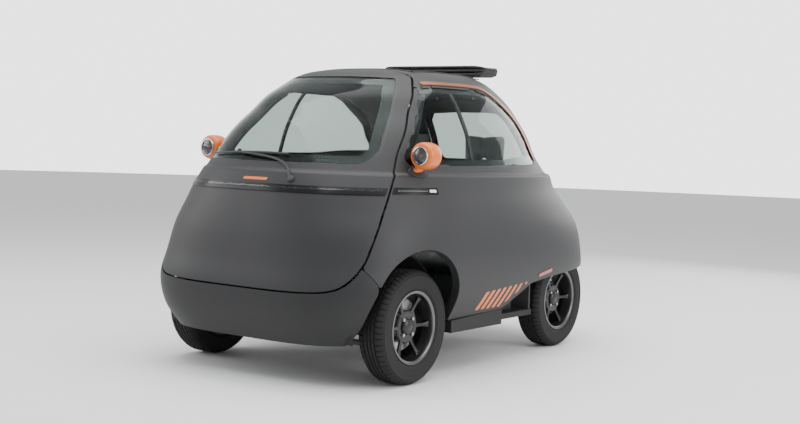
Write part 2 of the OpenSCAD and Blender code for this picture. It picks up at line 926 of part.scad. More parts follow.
module rear_axle() {
    reach = rear_track / 2 + disc_offset + disc_thickness;
    color("#2e2e2e") {
        for (side = [-1, 1]) {
            translate([side * arm_x - 20, floor_rear + 15.6, 225])
                cube([40, rear_axle_y - floor_rear + 20, 60]);
            translate([side < 0 ? -reach : arm_x, rear_axle_y, axle_z]) rotate([0, 90, 0])
                cylinder(r = spindle_radius, h = reach - arm_x, $fn = 48);
        }
        translate([-arm_x, rear_axle_y - 170, 230]) cube([2 * arm_x, 50, 50]);
    }
}

module motor_block() {
    color("#50524f") translate([-180, rear_axle_y - 120 + seat_play, 180]) cube([360, 230, 260]);
}

// Half of the tyre's section from the bead to the tread: [radius, distance from the middle]
function tyre_half() =
    let (bead = rim_diameter / 2, tread = tyre_diameter / 2, half = tyre_width / 2)
    [
        [bead, half - 16], [bead + 11, half - 14], [bead + 14, half - 6], [bead + 35, half - 1.5],
        [bead + 60, half], [bead + 83, half - 3], [tread - 6, half - 12], [tread, half - 26]
    ];

module tyre(x, y) {
    half = tyre_half();
    outline = concat(half, [for (p = reversed(half)) [p[0], -p[1]]]);
    color("#161616") translate([x, y, axle_z]) rotate([0, 90, 0]) rotate_extrude($fn = 96) polygon(outline);
}

spoke_count = 6;
// Angle that each opening between two spokes takes up
window_angle = 47;

// Section of a rim, from its hub out to the lips: [radius, distance outboard of the middle]
function rim_section() =
    let (
        bore = hub_bore / 2,
        barrel = rim_diameter / 2 - seat_play,
        inner = barrel - 12,
        lip = rim_diameter / 2 + 8,
        half = tyre_width / 2 - 14,
        back = disc_offset,
        front = disc_offset + disc_thickness
    )
    [
        [bore, back], [inner, back], [inner, -half - 5], [lip, -half - 5], [lip, -half], [barrel, -half],
        [barrel, half], [lip, half], [lip, half + 5], [inner, half + 5], [inner, front], [bore, front]
    ];

// A wheel rim that faces away from the middle of the car
module rim(x, y) {
    window_outer = rim_diameter / 2 - 18;
    window_inner = bolt_circle / 2 + 28;
    step = 360 / spoke_count;
    color("#1d1d1d") translate([x, y, axle_z]) rotate([0, x < 0 ? -90 : 90, 0]) difference() {
        rotate_extrude($fn = 96) polygon(rim_section());
        for (i = [0 : spoke_count - 1]) {
            rotate([0, 0, (i + 0.5) * step - window_angle / 2 + 90])
                rotate_extrude(angle = window_angle, $fn = 96)
                    translate([window_inner, disc_offset - 1])
                        square([window_outer - window_inner, disc_thickness + 2]);
        }
        for (i = [0 : 3]) {
            rotate([0, 0, 45 + 90 * i]) translate([bolt_circle / 2, 0, disc_offset - 1])
                cylinder(d = bolt_hole, h = disc_thickness + 2, $fn = 32);
        }
    }
}

module tyre_front_left() {
    tyre(front_track / 2, front_axle_y);
}

module tyre_front_right() {
    tyre(-front_track / 2, front_axle_y);
}

module tyre_rear_left() {
    tyre(rear_track / 2, rear_axle_y);
}

module tyre_rear_right() {
    tyre(-rear_track / 2, rear_axle_y);
}

module rim_front_left() {
    rim(front_track / 2, front_axle_y);
}

module rim_front_right() {
    rim(-front_track / 2, front_axle_y);
}

module rim_rear_left() {
    rim(rear_track / 2, rear_axle_y);
}

module rim_rear_right() {
    rim(-rear_track / 2, rear_axle_y);
}

front_door();
windscreen();
front_light_bar();
wiper();
door_hinges();
front_bumper();
side_panel_left();
side_panel_right();
roof_panel();
fabric_roof();
side_window_left();
side_window_right();
drip_strips();
lamp_pods();
lamp_lenses();
rear_hatch();
rear_window();
rear_light_bar();
hatch_hinges();
hinge_pins();
rear_bumper();
rear_plate();
sills();
floor_pan();
boot_floor();
bench_base();
seat_cushion();
seat_back();
dashboard();
steering_column();
steering_wheel();
front_suspension();
rear_axle();
motor_block();
knuckle_left();
knuckle_right();
tyre_front_left();
tyre_front_right();
tyre_rear_left();
tyre_rear_right();
rim_front_left();
rim_front_right();
rim_rear_left();
rim_rear_right();
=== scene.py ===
"""The visual model of a two-seat bubble microcar with a front door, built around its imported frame.

X points to the car's left, the nose faces -Y and Z is up. Sizes are in metres, apart from the
outlines of the body, which are in millimetres and go through mm().
"""

import logging
import math
from dataclasses import dataclass, field
from enum import Enum
from typing import Callable, Optional, Sequence

import bmesh
import bpy
import numpy as np
from mathutils import Matrix, Vector
from mathutils.bvhtree import BVHTree


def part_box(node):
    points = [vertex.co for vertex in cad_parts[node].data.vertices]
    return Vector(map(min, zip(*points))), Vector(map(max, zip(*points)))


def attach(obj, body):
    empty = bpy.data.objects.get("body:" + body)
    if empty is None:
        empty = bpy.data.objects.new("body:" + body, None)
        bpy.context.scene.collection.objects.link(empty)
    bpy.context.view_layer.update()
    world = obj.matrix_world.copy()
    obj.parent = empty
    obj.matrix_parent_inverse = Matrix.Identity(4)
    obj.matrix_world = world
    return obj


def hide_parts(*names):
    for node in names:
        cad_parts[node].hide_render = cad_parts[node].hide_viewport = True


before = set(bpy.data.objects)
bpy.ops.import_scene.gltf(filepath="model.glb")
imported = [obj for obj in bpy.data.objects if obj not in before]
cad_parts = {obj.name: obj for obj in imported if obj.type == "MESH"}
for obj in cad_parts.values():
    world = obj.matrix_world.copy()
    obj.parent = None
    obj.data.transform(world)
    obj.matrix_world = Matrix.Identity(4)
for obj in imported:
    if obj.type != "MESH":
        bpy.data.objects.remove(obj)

LOG = logging.getLogger("microcar")
Array = np.ndarray
Region = Callable[[Array], Array]
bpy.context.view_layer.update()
FAR = 9.0
SIDES = (("left", 1), ("right", -1))


def mm(values: Sequence) -> Array:
    """Returns a list of millimetres as an array of metres."""
    return np.array(values, float) / 1000


# ---------------------------------------------------------------- small mathematics


def catmull(rows: Array, t: Array) -> Array:
    """Reads a smooth curve through the rows of a table.

    Args:
        rows: the table, one row for each knot.
        t: places along the table, from 0 to the number of rows less one.

    Returns:
        One row of values for each place.
    """
    whole = np.vstack([2 * rows[0] - rows[1], rows, 2 * rows[-1] - rows[-2]])
    i = np.minimum(t.astype(int), len(rows) - 2)
    f = (t - i)[:, None]
    a, b, c, d = whole[i], whole[i + 1], whole[i + 2], whole[i + 3]
    return 0.5 * (2 * b + (c - a) * f + (2 * a - 5 * b + 4 * c - d) * f**2 + (3 * b - a - 3 * c + d) * f**3)


def curve_through(points: Sequence, steps: int = 8) -> Array:
    """Returns a smooth line through points, with a number of steps between two of them."""
    rows = np.array(points, float)
    return catmull(rows, np.linspace(0, len(rows) - 1, (len(rows) - 1) * steps + 1))


def distance_inside(flat: Array, corners: Array) -> Array:
    """Measures flat points against a closed outline.

    Args:
        flat: the points, two values each.
        corners: the corners of the outline.

    Returns:
        The distance to the outline, positive inside it.
    """
    nearest = np.full(len(flat), np.inf)
    inside = np.zeros(len(flat), bool)
    for start, end in zip(corners, np.roll(corners, -1, axis=0)):
        edge = end - start
        way = flat - start
        along = np.clip(way @ edge / (edge @ edge), 0, 1)
        nearest = np.minimum(nearest, ((way - along[:, None] * edge) ** 2).sum(1))
        rise = edge[1] if abs(edge[1]) > 1e-12 else 1e-12
        crossed = (start[1] > flat[:, 1]) != (end[1] > flat[:, 1])
        inside ^= crossed & (flat[:, 0] < start[0] + (flat[:, 1] - start[1]) / rise * edge[0])
    return np.where(inside, 1, -1) * np.sqrt(nearest)


def distance_to_line(flat: Array, line: Array) -> Array:
    """Returns the distance from flat points to an open line.

    Args:
        flat: the points, two values each.
        line: the corners of the line.

    Returns:
        The distance from flat points to an open line.
    """
    nearest = np.full(len(flat), np.inf)
    for start, end in zip(line[:-1], line[1:]):
        edge = end - start
        way = flat - start
        along = np.clip(way @ edge / (edge @ edge), 0, 1)
        nearest = np.minimum(nearest, ((way - along[:, None] * edge) ** 2).sum(1))
    return np.sqrt(nearest)


def smooth_step(values: Array, low: float, high: float) -> Array:
    """Returns 0 below low, 1 above high and a soft change between them."""
    t = np.clip((values - low) / (high - low), 0, 1)
    return t * t * (3 - 2 * t)


def side(points: Array) -> Array:
    """Returns the points as the car's side shows them, along and up."""
    return points[:, 1:3]


def front(points: Array) -> Array:
    """Returns the points as the car's front shows them, across and up."""
    return points[:, 0::2]


def unit(vectors: Array) -> Array:
    """Returns vectors of length one."""
    return vectors / np.maximum(np.linalg.norm(vectors, axis=-1, keepdims=True), 1e-12)


# ---------------------------------------------------------------- the shape of the body


@dataclass
class BodyShape:
    """The outer surface of the body, as rings that change with the height.

    A place on it is a level, the length along its upright section in metres, and an angle in
    radians around the car, from the left side towards the tail.
    """

    # Height, nose, tail, half width, widest point, fullness of the nose and of the tail
    lower: tuple = (
        (190, -1200, 1130, 590, -420, 4.2, 3.4),
        (300, -1248, 1215, 655, -420, 4.6, 4.0),
        (430, -1259, 1250, 715, -420, 4.2, 4.0),
        (560, -1234, 1252, 736.5, -400, 3.6, 3.6),
        (690, -1212, 1233, 730, -380, 3.3, 3.3),
        (800, -1184, 1182, 713, -340, 3.0, 2.8),
        (890, -1153, 1120, 692, -300, 2.9, 2.5),
        (970, -1112, 1066, 674, -260, 2.8, 2.5),
    )
    upper: tuple = (
        (970, -1102, 1048, 657, -240, 2.9, 2.4),
        (1070, -1032, 973, 629, -200, 2.9, 2.2),
        (1170, -942, 893, 598, -160, 2.9, 2.2),
        (1260, -845, 797, 556, -120, 2.8, 2.2),
        (1335, -760, 698, 514, -70, 2.9, 2.2),
        (1395, -662, 592, 466, -30, 2.9, 2.2),
        (1440, -580, 482, 418, 10, 3.0, 2.2),
        (1472, -470, 373, 342, 40, 3.0, 2.3),
        (1493, -240, 247, 226, 50, 2.3, 2.3),
    )
    ledge: float = 0.004
    spacing: float = 0.0015
    softness: float = 2.5
    table: Array = field(init=False)
    levels: Array = field(init=False)

    def __post_init__(self) -> None:
        """Samples both tables evenly and softens the ledge between them."""
        steps = 400
        parts = []
        for rows, cut in ((self.lower, -self.ledge), (self.upper, self.ledge)):
            knots = np.array(rows, float) / np.array([1000] * 5 + [1, 1])
            part = catmull(knots, np.linspace(0, len(knots) - 1, steps))
            joint = 0.970 + cut
            parts.append(part[part[:, 0] < joint] if cut < 0 else part[part[:, 0] > joint])
        whole = np.vstack(parts)
        moves = np.diff(whole[:, :4], axis=0)
        length = np.sqrt(moves[:, 0] ** 2 + (moves[:, 1:] ** 2).mean(1))
        run = np.concatenate([[0], np.cumsum(length)])
        even = np.arange(0, run[-1], self.spacing)
        table = np.column_stack([np.interp(even, run, whole[:, k]) for k in range(7)])
        reach = int(4 * self.softness)
        weights = np.exp(-0.5 * (np.arange(-reach, reach + 1) / self.softness) ** 2)
        weights /= weights.sum()
        before = table[0] + (table[0] - table[1]) * np.arange(reach, 0, -1)[:, None]
        after = table[-1] + (table[-1] - table[-2]) * np.arange(1, reach + 1)[:, None]
        padded = np.vstack([before, table, after])
        self.table = np.column_stack([np.convolve(padded[:, k], weights, "valid") for k in range(7)])
        self.levels = even

    def level_at(self, height: float) -> float:
        """Returns the level at a height."""
        return float(np.interp(height, self.table[:, 0], self.levels))

    def point(self, level: Array, angle: Array) -> Array:
        """Returns the points at levels and angles.

        Args:
            level: levels, in metres along the upright section.
            angle: angles around the car, in radians.

        Returns:
            The points at levels and angles.
        """
        z, nose, tail, half, middle, full_nose, full_tail = (
            np.interp(level, self.levels, self.table[:, k]) for k in range(7)
        )
        across, along = np.cos(angle), np.sin(angle)
        fullness = np.where(along < 0, full_nose, full_tail)
        reach = np.where(along < 0, middle - nose, tail - middle)
        grow = (np.abs(across) ** fullness + np.abs(along) ** fullness) ** (-1 / fullness)
        return np.stack([half * grow * across, middle + reach * grow * along, z], axis=-1)

    def normal(self, level: Array, angle: Array, reach: float = 0.002) -> Array:
        """Returns the outward directions at levels and angles, read over a reach.

        Args:
            level: levels, in metres along the upright section.
            angle: angles around the car, in radians.
            reach: half the span that the direction is read over.

        Returns:
            The outward directions at levels and angles, read over a reach.
        """
        low, high = self.levels[0], self.levels[-1]
        up = self.point(np.minimum(level + reach, high), angle) - self.point(np.maximum(level - reach, low), angle)
        turn = min(reach, 0.02)
        round_ = self.point(level, angle + turn) - self.point(level, angle - turn)
        return unit(np.cross(round_, up))

    def find(self, height: float, across: Optional[float] = None, along: Optional[float] = None,
             sign: int = 1) -> tuple[Vector, Vector]:
        """Finds a point of the surface at a height.

        Args:
            height: its height.
            across: its place across the car, or None if along is given.
            along: its place along the car, or None if across is given.
            sign: with across, 1 for the tail and -1 for the nose; with along, 1 for the left.

        Returns:
            The point, and the outward direction there.
        """
        level = self.level_at(height)
        if along is None:
            angles = np.linspace(0, math.pi, 4001) * sign
            line = self.point(np.full(4001, level), angles)
            k = int(np.argmin(np.abs(line[:, 0] - across)))
        else:
            angles = np.linspace(-math.pi / 2, math.pi / 2, 4001)
            angles = angles if sign > 0 else math.pi - angles
            line = self.point(np.full(4001, level), angles)
            k = int(np.argmin(np.abs(line[:, 1] - along)))
        return Vector(line[k]), Vector(self.normal(np.array([level]), angles[k:k + 1])[0])


SHAPE = BodyShape()


@dataclass(frozen=True)
class Seams:
    """The outlines that split the body into panels, as distances that are positive inside."""

    door_gap: float = 0.0035
    panel_gap: float = 0.0004
    arch_radius: float = 0.312
    front_axle: float = -0.750
    roof_half: float = 0.330
    hatch_top: float = 0.560
    roof_front: float = -0.416
    rear_seam: float = 1.003
    rear_seam_height: float = 0.636
    bottom: float = 0.196
    door: tuple = (
        (-416, 1600), (-416, 1440), (-572, 1296), (-708, 1141), (-774, 1061), (-823, 981),
        (-859, 933), (-939, 812), (-1021, 683), (-1082, 568), (-1148, 491), (-1200, 452),
        (-1260, 434), (-1500, 434),
    )
    hatch: tuple = (
        (-385, 1600), (-395, 1200), (-410, 760), (-404, 690), (-385, 655), (-350, 640),
        (350, 640), (385, 655), (404, 690), (410, 760), (395, 1200), (385, 1600),
    )
    screen: tuple = (
        (120, 1050), (450, 1050), (464, 1078), (440, 1165), (403, 1250), (370, 1325), (312, 1396),
        (120, 1400),
    )
    side_window: tuple = (
        (-715, 1040), (-664, 1103), (-528, 1258), (-434, 1362), (-330, 1370), (20, 1372),
        (120, 1348), (205, 1306), (290, 1266), (358, 1222), (412, 1148), (492, 1066), (480, 1056),
        (-100, 1045),
    )
    rear_window: tuple = (
        (110, 1050), (288, 1050), (292, 1100), (278, 1180), (260, 1258), (232, 1292), (110, 1302),
    )
    side_edge: tuple = ((-410, 265), (60, 286), (255, 407), (469, 430), (1003, 450))
    rear_edge: tuple = ((1003, 450), (1100, 430), (1400, 400), (1400, 636), (1003, 636))
    bumper_zone: tuple = (
        (-9000, 635), (-1150, 635), (-1092, 556), (-1035, 478), (-1035, -900), (-9000, -900),
    )
    opening: tuple = ((0, -270), (230, -270), (230, 190), (0, 190), (-230, 190), (-230, -270))
    opening_radius: float = 0.060

    def ahead(self, p: Array) -> Array:
        """Inside ahead of the seam of the front door."""
        seam = curve_through(mm(self.door[1:-1]), 6)
        corners = np.vstack([mm([self.door[0]]), seam, mm([(-9000, 434), (-9000, 9000), (-416, 9000)])])
        return distance_inside(side(p), corners)

    def pane(self, p: Array, outline: tuple, radius: float, mirrored: bool = True) -> Array:
        """Inside a window with round corners, seen from the front or, if not mirrored, the side.

        Args:
            p: the points, a row each.
            outline: the corners of the window, in millimetres.
            radius: its radius.
            mirrored: whether the outline is given for one half only.

        Returns:
            The distance of each point, positive inside.
        """
        corners = mm(outline)
        if mirrored:
            corners = np.vstack([corners, corners[::-1] * [-1, 1]])
        return distance_inside(front(p) if mirrored else side(p), corners) + radius

    def windscreen(self, p: Array) -> Array:
        """Inside the windscreen."""
        return self.pane(p, self.screen, 0.040)

    def side_pane(self, p: Array) -> Array:
        """Inside a side window."""
        return self.pane(p, self.side_window, 0.030, mirrored=False)

    def rear_pane(self, p: Array) -> Array:
        """Inside the rear window."""
        return self.pane(p, self.rear_window, 0.040)

    def arch(self, p: Array) -> Array:
        """Outside the wheel arch of the front axle."""
        along = p[:, 1] - self.front_axle
        up = p[:, 2] - self.arch_radius - 0.006
        return np.where(up > 0, np.hypot(along, up), np.abs(along)) - self.arch_radius

    def hatch_zone(self, p: Array) -> Array:
        """Inside the seam of the tailgate."""
        return np.minimum(distance_inside(front(p), mm(self.hatch)), p[:, 1] - self.hatch_top)

    def above_edge(self, p: Array) -> Array:
        """Above the lower edge of the side panels."""
        edge = mm(self.side_edge)
        corners = np.vstack([[-FAR, edge[0, 1]], edge, [[FAR, edge[-1, 1]], [FAR, FAR], [-FAR, FAR]]])
        return distance_inside(side(p), corners)

    def door_panel(self, p: Array) -> Array:
        """The front door without its window."""
        return np.minimum(self.ahead(p) - self.door_gap, -self.windscreen(p))

    def front_bumper(self, p: Array) -> Array:
        """The front bumper."""
        zone = distance_inside(side(p), mm(self.bumper_zone)) - self.panel_gap
        return np.minimum.reduce([-self.ahead(p) - self.door_gap, zone, self.arch(p), p[:, 2] - self.bottom])

    def side_panel(self, p: Array) -> Array:
        """The left side panel without its window.

        Args:
            p: the points, a row each.

        Returns:
            The distance of each point, positive inside.
        """
        zone = -distance_inside(side(p), mm(self.bumper_zone)) - self.panel_gap
        corner = -np.minimum(p[:, 1] - self.rear_seam, self.rear_seam_height - p[:, 2]) - self.panel_gap
        return np.minimum.reduce([
            -self.ahead(p) - self.door_gap, zone, -self.side_pane(p), corner, self.above_edge(p),
            self.arch(p), -self.hatch_zone(p) - self.door_gap, p[:, 0] - self.roof_half,
        ])

    def roof_panel(self, p: Array) -> Array:
        """The roof panel around its opening.

        Args:
            p: the points, a row each.

        Returns:
            The distance of each point, positive inside.
        """
        opening = -distance_inside(p[:, :2], mm(self.opening)) - self.opening_radius
        return np.minimum.reduce([
            self.roof_half - self.panel_gap - np.abs(p[:, 0]), p[:, 1] - self.roof_front - self.door_gap,
            self.hatch_top - self.door_gap - p[:, 1], opening,
        ])

    def tailgate(self, p: Array) -> Array:
        """The tailgate without its window."""
        return np.minimum(self.hatch_zone(p) - self.door_gap, -self.rear_pane(p))

    def rear_bumper(self, p: Array) -> Array:
        """The rear bumper."""
        zone = distance_inside(side(p), mm(self.rear_edge)) - self.panel_gap
        return np.minimum(zone, -self.hatch_zone(p) - self.door_gap)


SEAMS = Seams()


# ---------------------------------------------------------------- meshes


@dataclass
class Sheet:
    """A closed shell as plain arrays, ready to become an object."""

    points: Array
    faces: list
    groups: list
    outer_normals: Array
    inner_normals: Array

    def mirrored(self) -> "Sheet":
        """Returns the same shell on the other side of the car."""
        flip = np.array([-1, 1, 1])
        faces = [tuple(reversed(face)) for face in self.faces]
        return Sheet(self.points * flip, faces, self.groups, self.outer_normals * flip, self.inner_normals * flip)


@dataclass(frozen=True)
class Patch:
    """A piece of the body's surface with a thickness and round edges."""

    region: Region
    angles: tuple = (0.0, 180.0)
    heights: tuple = (0.19, 1.49)
    outer: float = 0.0
    depth: float = 0.045
    edge: float = 0.003
    step: float = 0.014
    inner_depth: Optional[Region] = None

    def _measure(self, level: Array, angle: Array) -> tuple[Array, Array, Array]:
        """Returns the true distance inside the round edge, and the way to it per metre.

        Args:
            level: levels, in metres along the upright section.
            angle: angles around the car, in radians.

        Returns:
            The true distance inside the round edge, and the way to it per metre.
        """
        small = 0.0004
        p = SHAPE.point(level, angle)
        d_level = (SHAPE.point(level + small, angle) - p) / small
        d_angle = (SHAPE.point(level, angle + small) - p) / small
        value = self.region(p)
        g_level = (self.region(SHAPE.point(level + small, angle)) - value) / small
        g_angle = (self.region(SHAPE.point(level, angle + small)) - value) / small
        e, f, g = (d_level**2).sum(1), (d_level * d_angle).sum(1), (d_angle**2).sum(1)
        det = np.maximum(e * g - f * f, 1e-12)
        way_level = (g * g_level - f * g_angle) / det
        way_angle = (e * g_angle - f * g_level) / det
        steep = np.sqrt(np.maximum(g_level * way_level + g_angle * way_angle, 0.04))
        return value / steep - self.edge, way_level / steep, way_angle / steep

    def _settle(self, level: Array, angle: Array, rounds: int) -> tuple[Array, Array]:
        """Moves places onto the edge line.

        Args:
            level: levels, in metres along the upright section.
            angle: angles around the car, in radians.
            rounds: the number of rounds.

        Returns:
            The settled places.
        """
        for _ in range(rounds):
            gap, way_level, way_angle = self._measure(level, angle)
            gap = np.clip(gap, -0.01, 0.01)
            level = np.clip(level - gap * way_level, SHAPE.levels[0], SHAPE.levels[-1])
            angle = angle - gap * way_angle
        return level, angle

    def _cut(self) -> tuple[Array, Array, list]:
        """Cuts the region out of an even grid.

        Returns:
            The levels and angles of its corners, and its faces.
        """
        low, high = (SHAPE.level_at(h) for h in self.heights)
        start, end = np.radians(self.angles)
        whole = abs(end - start) > 6.28
        rows = max(2, int((high - low) / self.step))
        around = max(2, int(abs(end - start) * 0.95 / self.step))
        turn = np.linspace(start, end, around + 1)[: around if whole else None]
        level, angle = (v.ravel() for v in np.meshgrid(np.linspace(low, high, rows + 1), turn, indexing="ij"))
        columns = len(turn)
        gap, _, _ = self._measure(level, angle)
        near = np.flatnonzero(np.abs(gap) < 0.3 * self.step)
        level[near], angle[near] = self._settle(level[near], angle[near], 2)
        state = np.sign(gap)
        state[near] = 0
        i, j = np.meshgrid(np.arange(rows), np.arange(around), indexing="ij")
        nxt = (j + 1) % columns
        quads = np.stack([i * columns + j, i * columns + nxt, (i + 1) * columns + nxt, (i + 1) * columns + j], -1)
        quads = quads.reshape(-1, 4)
        marks = state[quads]
        faces = [tuple(q) for q in quads[(marks >= 0).all(1) & (marks > 0).any(1)]]
        crossings: dict = {}
        new_level, new_angle = [], []
        for quad, mark in zip(quads, marks):
            if not ((mark > 0).any() and (mark < 0).any()):
                continue
            outline = []
            for k in range(4):
                a, b = quad[k], quad[(k + 1) % 4]
                if state[a] >= 0:
                    outline.append(a)
                if state[a] * state[b] < 0:
                    key = (min(a, b), max(a, b))
                    if key not in crossings:
                        crossings[key] = len(level) + len(new_level)
                        share = gap[a] / (gap[a] - gap[b])
                        turned = (angle[b] - angle[a] + math.pi) % (2 * math.pi) - math.pi
                        new_level.append(level[a] + share * (level[b] - level[a]))
                        new_angle.append(angle[a] + share * turned)
                    outline.append(crossings[key])
            if len(outline) > 2:
                faces.append(tuple(outline))
        more = self._settle(np.array(new_level), np.array(new_angle), 2) if new_level else ([], [])
        return np.concatenate([level, more[0]]), np.concatenate([angle, more[1]]), faces

    def build(self) -> Sheet:
        """Builds the closed shell: the skin, its round edge, its wall and its inner side.

        Returns:
            The shell.
        """
        level, angle, faces = self._cut()
        used = sorted({v for face in faces for v in face})
        order = {v: k for k, v in enumerate(used)}
        faces = [tuple(order[v] for v in face) for face in faces]
        level, angle = level[used], angle[used]
        normal = SHAPE.normal(level, angle)
        deep_normal = SHAPE.normal(level, angle, 0.04) if self.depth > 0.012 else normal
        base = SHAPE.point(level, angle)
        depth = self.depth if self.inner_depth is None else self.inner_depth(base)[:, None]
        skin = base - normal * self.outer
        inner = skin - deep_normal * depth
        edges = {(face[k], face[(k + 1) % len(face)]) for face in faces for k in range(len(face))}
        border = [edge for edge in edges if (edge[1], edge[0]) not in edges]
        border.sort()
        rim = sorted({v for edge in border for v in edge})
        seat = {v: k for k, v in enumerate(rim)}
        outward = np.zeros((len(rim), 3))
        for a, b in border:
            away = unit(np.cross(skin[b] - skin[a], normal[a] + normal[b]))
            outward[seat[a]] += away
            outward[seat[b]] += away
        outward = unit(outward)
        rim_normal = normal[rim]
        points, normals = [skin], [normal]
        for turn in np.radians([30, 60, 90]):
            points.append(skin[rim] + outward * self.edge * math.sin(turn)
                          - rim_normal * self.edge * (1 - math.cos(turn)))
            normals.append(rim_normal * math.cos(turn) + outward * math.sin(turn))
        count = len(skin)
        rings = [np.array(rim)] + [count + k * len(rim) + np.arange(len(rim)) for k in range(3)]
        offset = count + 3 * len(rim)
        points.append(inner)
        inner_out = normal.copy()
        inner_out[rim] = outward
        normals.append(inner_out)
        rings.append(offset + np.array(rim))
        all_points = np.vstack(points)
        outer_normals = np.vstack(normals)
        inner_normals = outer_normals.copy()
        inner_normals[offset:] = -deep_normal
        result = list(faces)
        groups = [0] * len(faces)
        for k in range(4):
            for a, b in border:
                upper, lower = rings[k], rings[k + 1]
                result.append((upper[seat[b]], upper[seat[a]], lower[seat[a]], lower[seat[b]]))
                groups.append(0)
        for face in faces:
            result.append(tuple(offset + v for v in reversed(face)))
            groups.append(1)
        return Sheet(all_points, result, groups, outer_normals, inner_normals)


def new_object(name: str, mesh: bpy.types.Mesh, *materials: bpy.types.Material) -> bpy.types.Object:
    """Links a mesh as an object at the origin and gives it its materials.

    Args:
        name: the piece's name.
        mesh: its mesh.
        materials: its materials.

    Returns:
        The object.
    """
    obj = bpy.data.objects.new(name, mesh)
    bpy.context.scene.collection.objects.link(obj)
    for material in materials:
        mesh.materials.append(material)
    return obj


def sheet_object(name: str, sheet: Sheet, *materials: bpy.types.Material) -> bpy.types.Object:
    """Turns a shell into an object with its exact normals.

    Args:
        name: the object's name.
        sheet: the shell.
        materials: the outside's material and, if there are two, the inside's.

    Returns:
        The object.
    """
    mesh = bpy.data.meshes.new(name)
    mesh.from_pydata(sheet.points.tolist(), [], [tuple(int(v) for v in face) for face in sheet.faces])
    mesh.shade_smooth()
    normals = []
    for face, group in zip(sheet.faces, sheet.groups):
        source = sheet.inner_normals if group else sheet.outer_normals
        normals.extend(source[list(face)].tolist())
    mesh.normals_split_custom_set(normals)
    if len(materials) > 1:
        mesh.polygons.foreach_set("material_index", np.array(sheet.groups, np.int32))
    return new_object(name, mesh, *materials)


def finish_mesh(name: str, bm: bmesh.types.BMesh, *materials: bpy.types.Material,
                sharp: float = 38.0, recalc: bool = True) -> bpy.types.Object:
    """Turns a bmesh into an object with smooth faces and sharp corners.

    Args:
        name: the object's name.
        bm: the mesh, which is freed.
        materials: the object's materials.
        sharp: the angle in degrees from which an edge stays sharp.
        recalc: whether the faces are turned outwards first.

    Returns:
        The object.
    """
    bmesh.ops.remove_doubles(bm, verts=bm.verts, dist=1e-6)
    if recalc:
        bmesh.ops.recalc_face_normals(bm, faces=bm.faces)
    mesh = bpy.data.meshes.new(name)
    bm.to_mesh(mesh)
    bm.free()
    mesh.shade_smooth()
    mesh.set_sharp_from_angle(angle=math.radians(sharp))
    return new_object(name, mesh, *materials)


def add_grid(bm: bmesh.types.BMesh, rings: Sequence, closed: bool = True, wrap: bool = False,
             slot_of: Optional[Callable[[int], int]] = None) -> None:
    """Joins rings of points with faces.

    Args:
        bm: the mesh that gets them.
        rings: the rings, each a list of points.
        closed: whether each ring is a loop.
        wrap: whether the last ring joins the first.
        slot_of: gives the material slot for a place in the ring.
    """
    rows = [[bm.verts.new(p) for p in ring] for ring in rings]
    last = len(rows) if wrap else len(rows) - 1
    for i in range(last):
        a, b = rows[i], rows[(i + 1) % len(rows)]
        count = len(a)
        for j in range(count if closed else count - 1):
            k = (j + 1) % count
            face = bm.faces.new((a[j], a[k], b[k], b[j]))
            if slot_of is not None:
                face.material_index = slot_of(j)
    if closed and not wrap:
        bm.faces.new(rows[0][::-1])
        bm.faces.new(rows[-1])


def add_lathe(bm: bmesh.types.BMesh, profile: Sequence, place: Matrix, segments: int = 64,
              slot_of: Optional[Callable[[int], int]] = None) -> None:
    """Turns a closed profile of radius and height about the Z axis of a place.

    Args:
        bm: the mesh that gets it.
        profile: the corners of the profile.
        place: where the axis stands.
        segments: the number of steps around.
        slot_of: gives the material slot for a side of the profile.
    """
    rings = []
    for k in range(segments):
        turn = 2 * math.pi * k / segments
        rings.append([place @ Vector((r * math.cos(turn), r * math.sin(turn), h)) for r, h in profile])
    add_grid(bm, rings, closed=True, wrap=True, slot_of=slot_of)


def add_box(bm: bmesh.types.BMesh, low: Sequence, high: Sequence, bevel: float = 0.003,
            place: Optional[Matrix] = None, segments: int = 3) -> None:
    """Adds a block with round edges between two corners.

    Args:
        bm: the mesh that gets it.
        low: the lowest corner.
        high: the highest corner.
        bevel: the radius of its edges.
        place: where it is put.
        segments: the number of steps round a curve.
    """
    part = bmesh.new()
    bmesh.ops.create_cube(part, size=1.0)
    low, high = Vector(low), Vector(high)
    size, middle = high - low, (high + low) / 2
    bmesh.ops.scale(part, vec=size, verts=part.verts)
    bmesh.ops.translate(part, vec=middle, verts=part.verts)
    if bevel > 0:
        bmesh.ops.bevel(part, geom=part.edges[:], offset=min(bevel, min(size) * 0.45), segments=segments,
                        profile=0.5, affect="EDGES")
    if place is not None:
        bmesh.ops.transform(part, matrix=place, verts=part.verts)
    merge(bm, part)


def merge(bm: bmesh.types.BMesh, part: bmesh.types.BMesh) -> None:
    """Adds one bmesh to another and frees it.

    Args:
        bm: the mesh that gets it.
        part: the bmesh that is added.
    """
    mesh = bpy.data.meshes.new("part")
    part.to_mesh(mesh)
    part.free()
    bm.from_mesh(mesh)
    bpy.data.meshes.remove(mesh)


def add_rod(bm: bmesh.types.BMesh, start: Sequence, end: Sequence, radius: float,
            tip: Optional[float] = None, segments: int = 20) -> None:
    """Adds a straight round rod with slightly rounded ends.

    Args:
        bm: the mesh that gets it.
        start: the middle of its first end.
        end: the middle of its last end.
        radius: its radius.
        tip: its radius at the far end, or nothing for the same.
        segments: the number of steps round a curve.
    """
    start, end = Vector(start), Vector(end)
    tip = radius if tip is None else tip
    length = (end - start).length
    chamfer = min(radius * 0.25, length * 0.2)
    place = Matrix.Translation(start) @ (end - start).to_track_quat("Z", "Y").to_matrix().to_4x4()
    profile = [(1e-4, 0), (radius - chamfer, 0), (radius, chamfer), (tip, length - chamfer),
               (tip - chamfer, length), (1e-4, length)]
    add_lathe(bm, profile, place, segments)


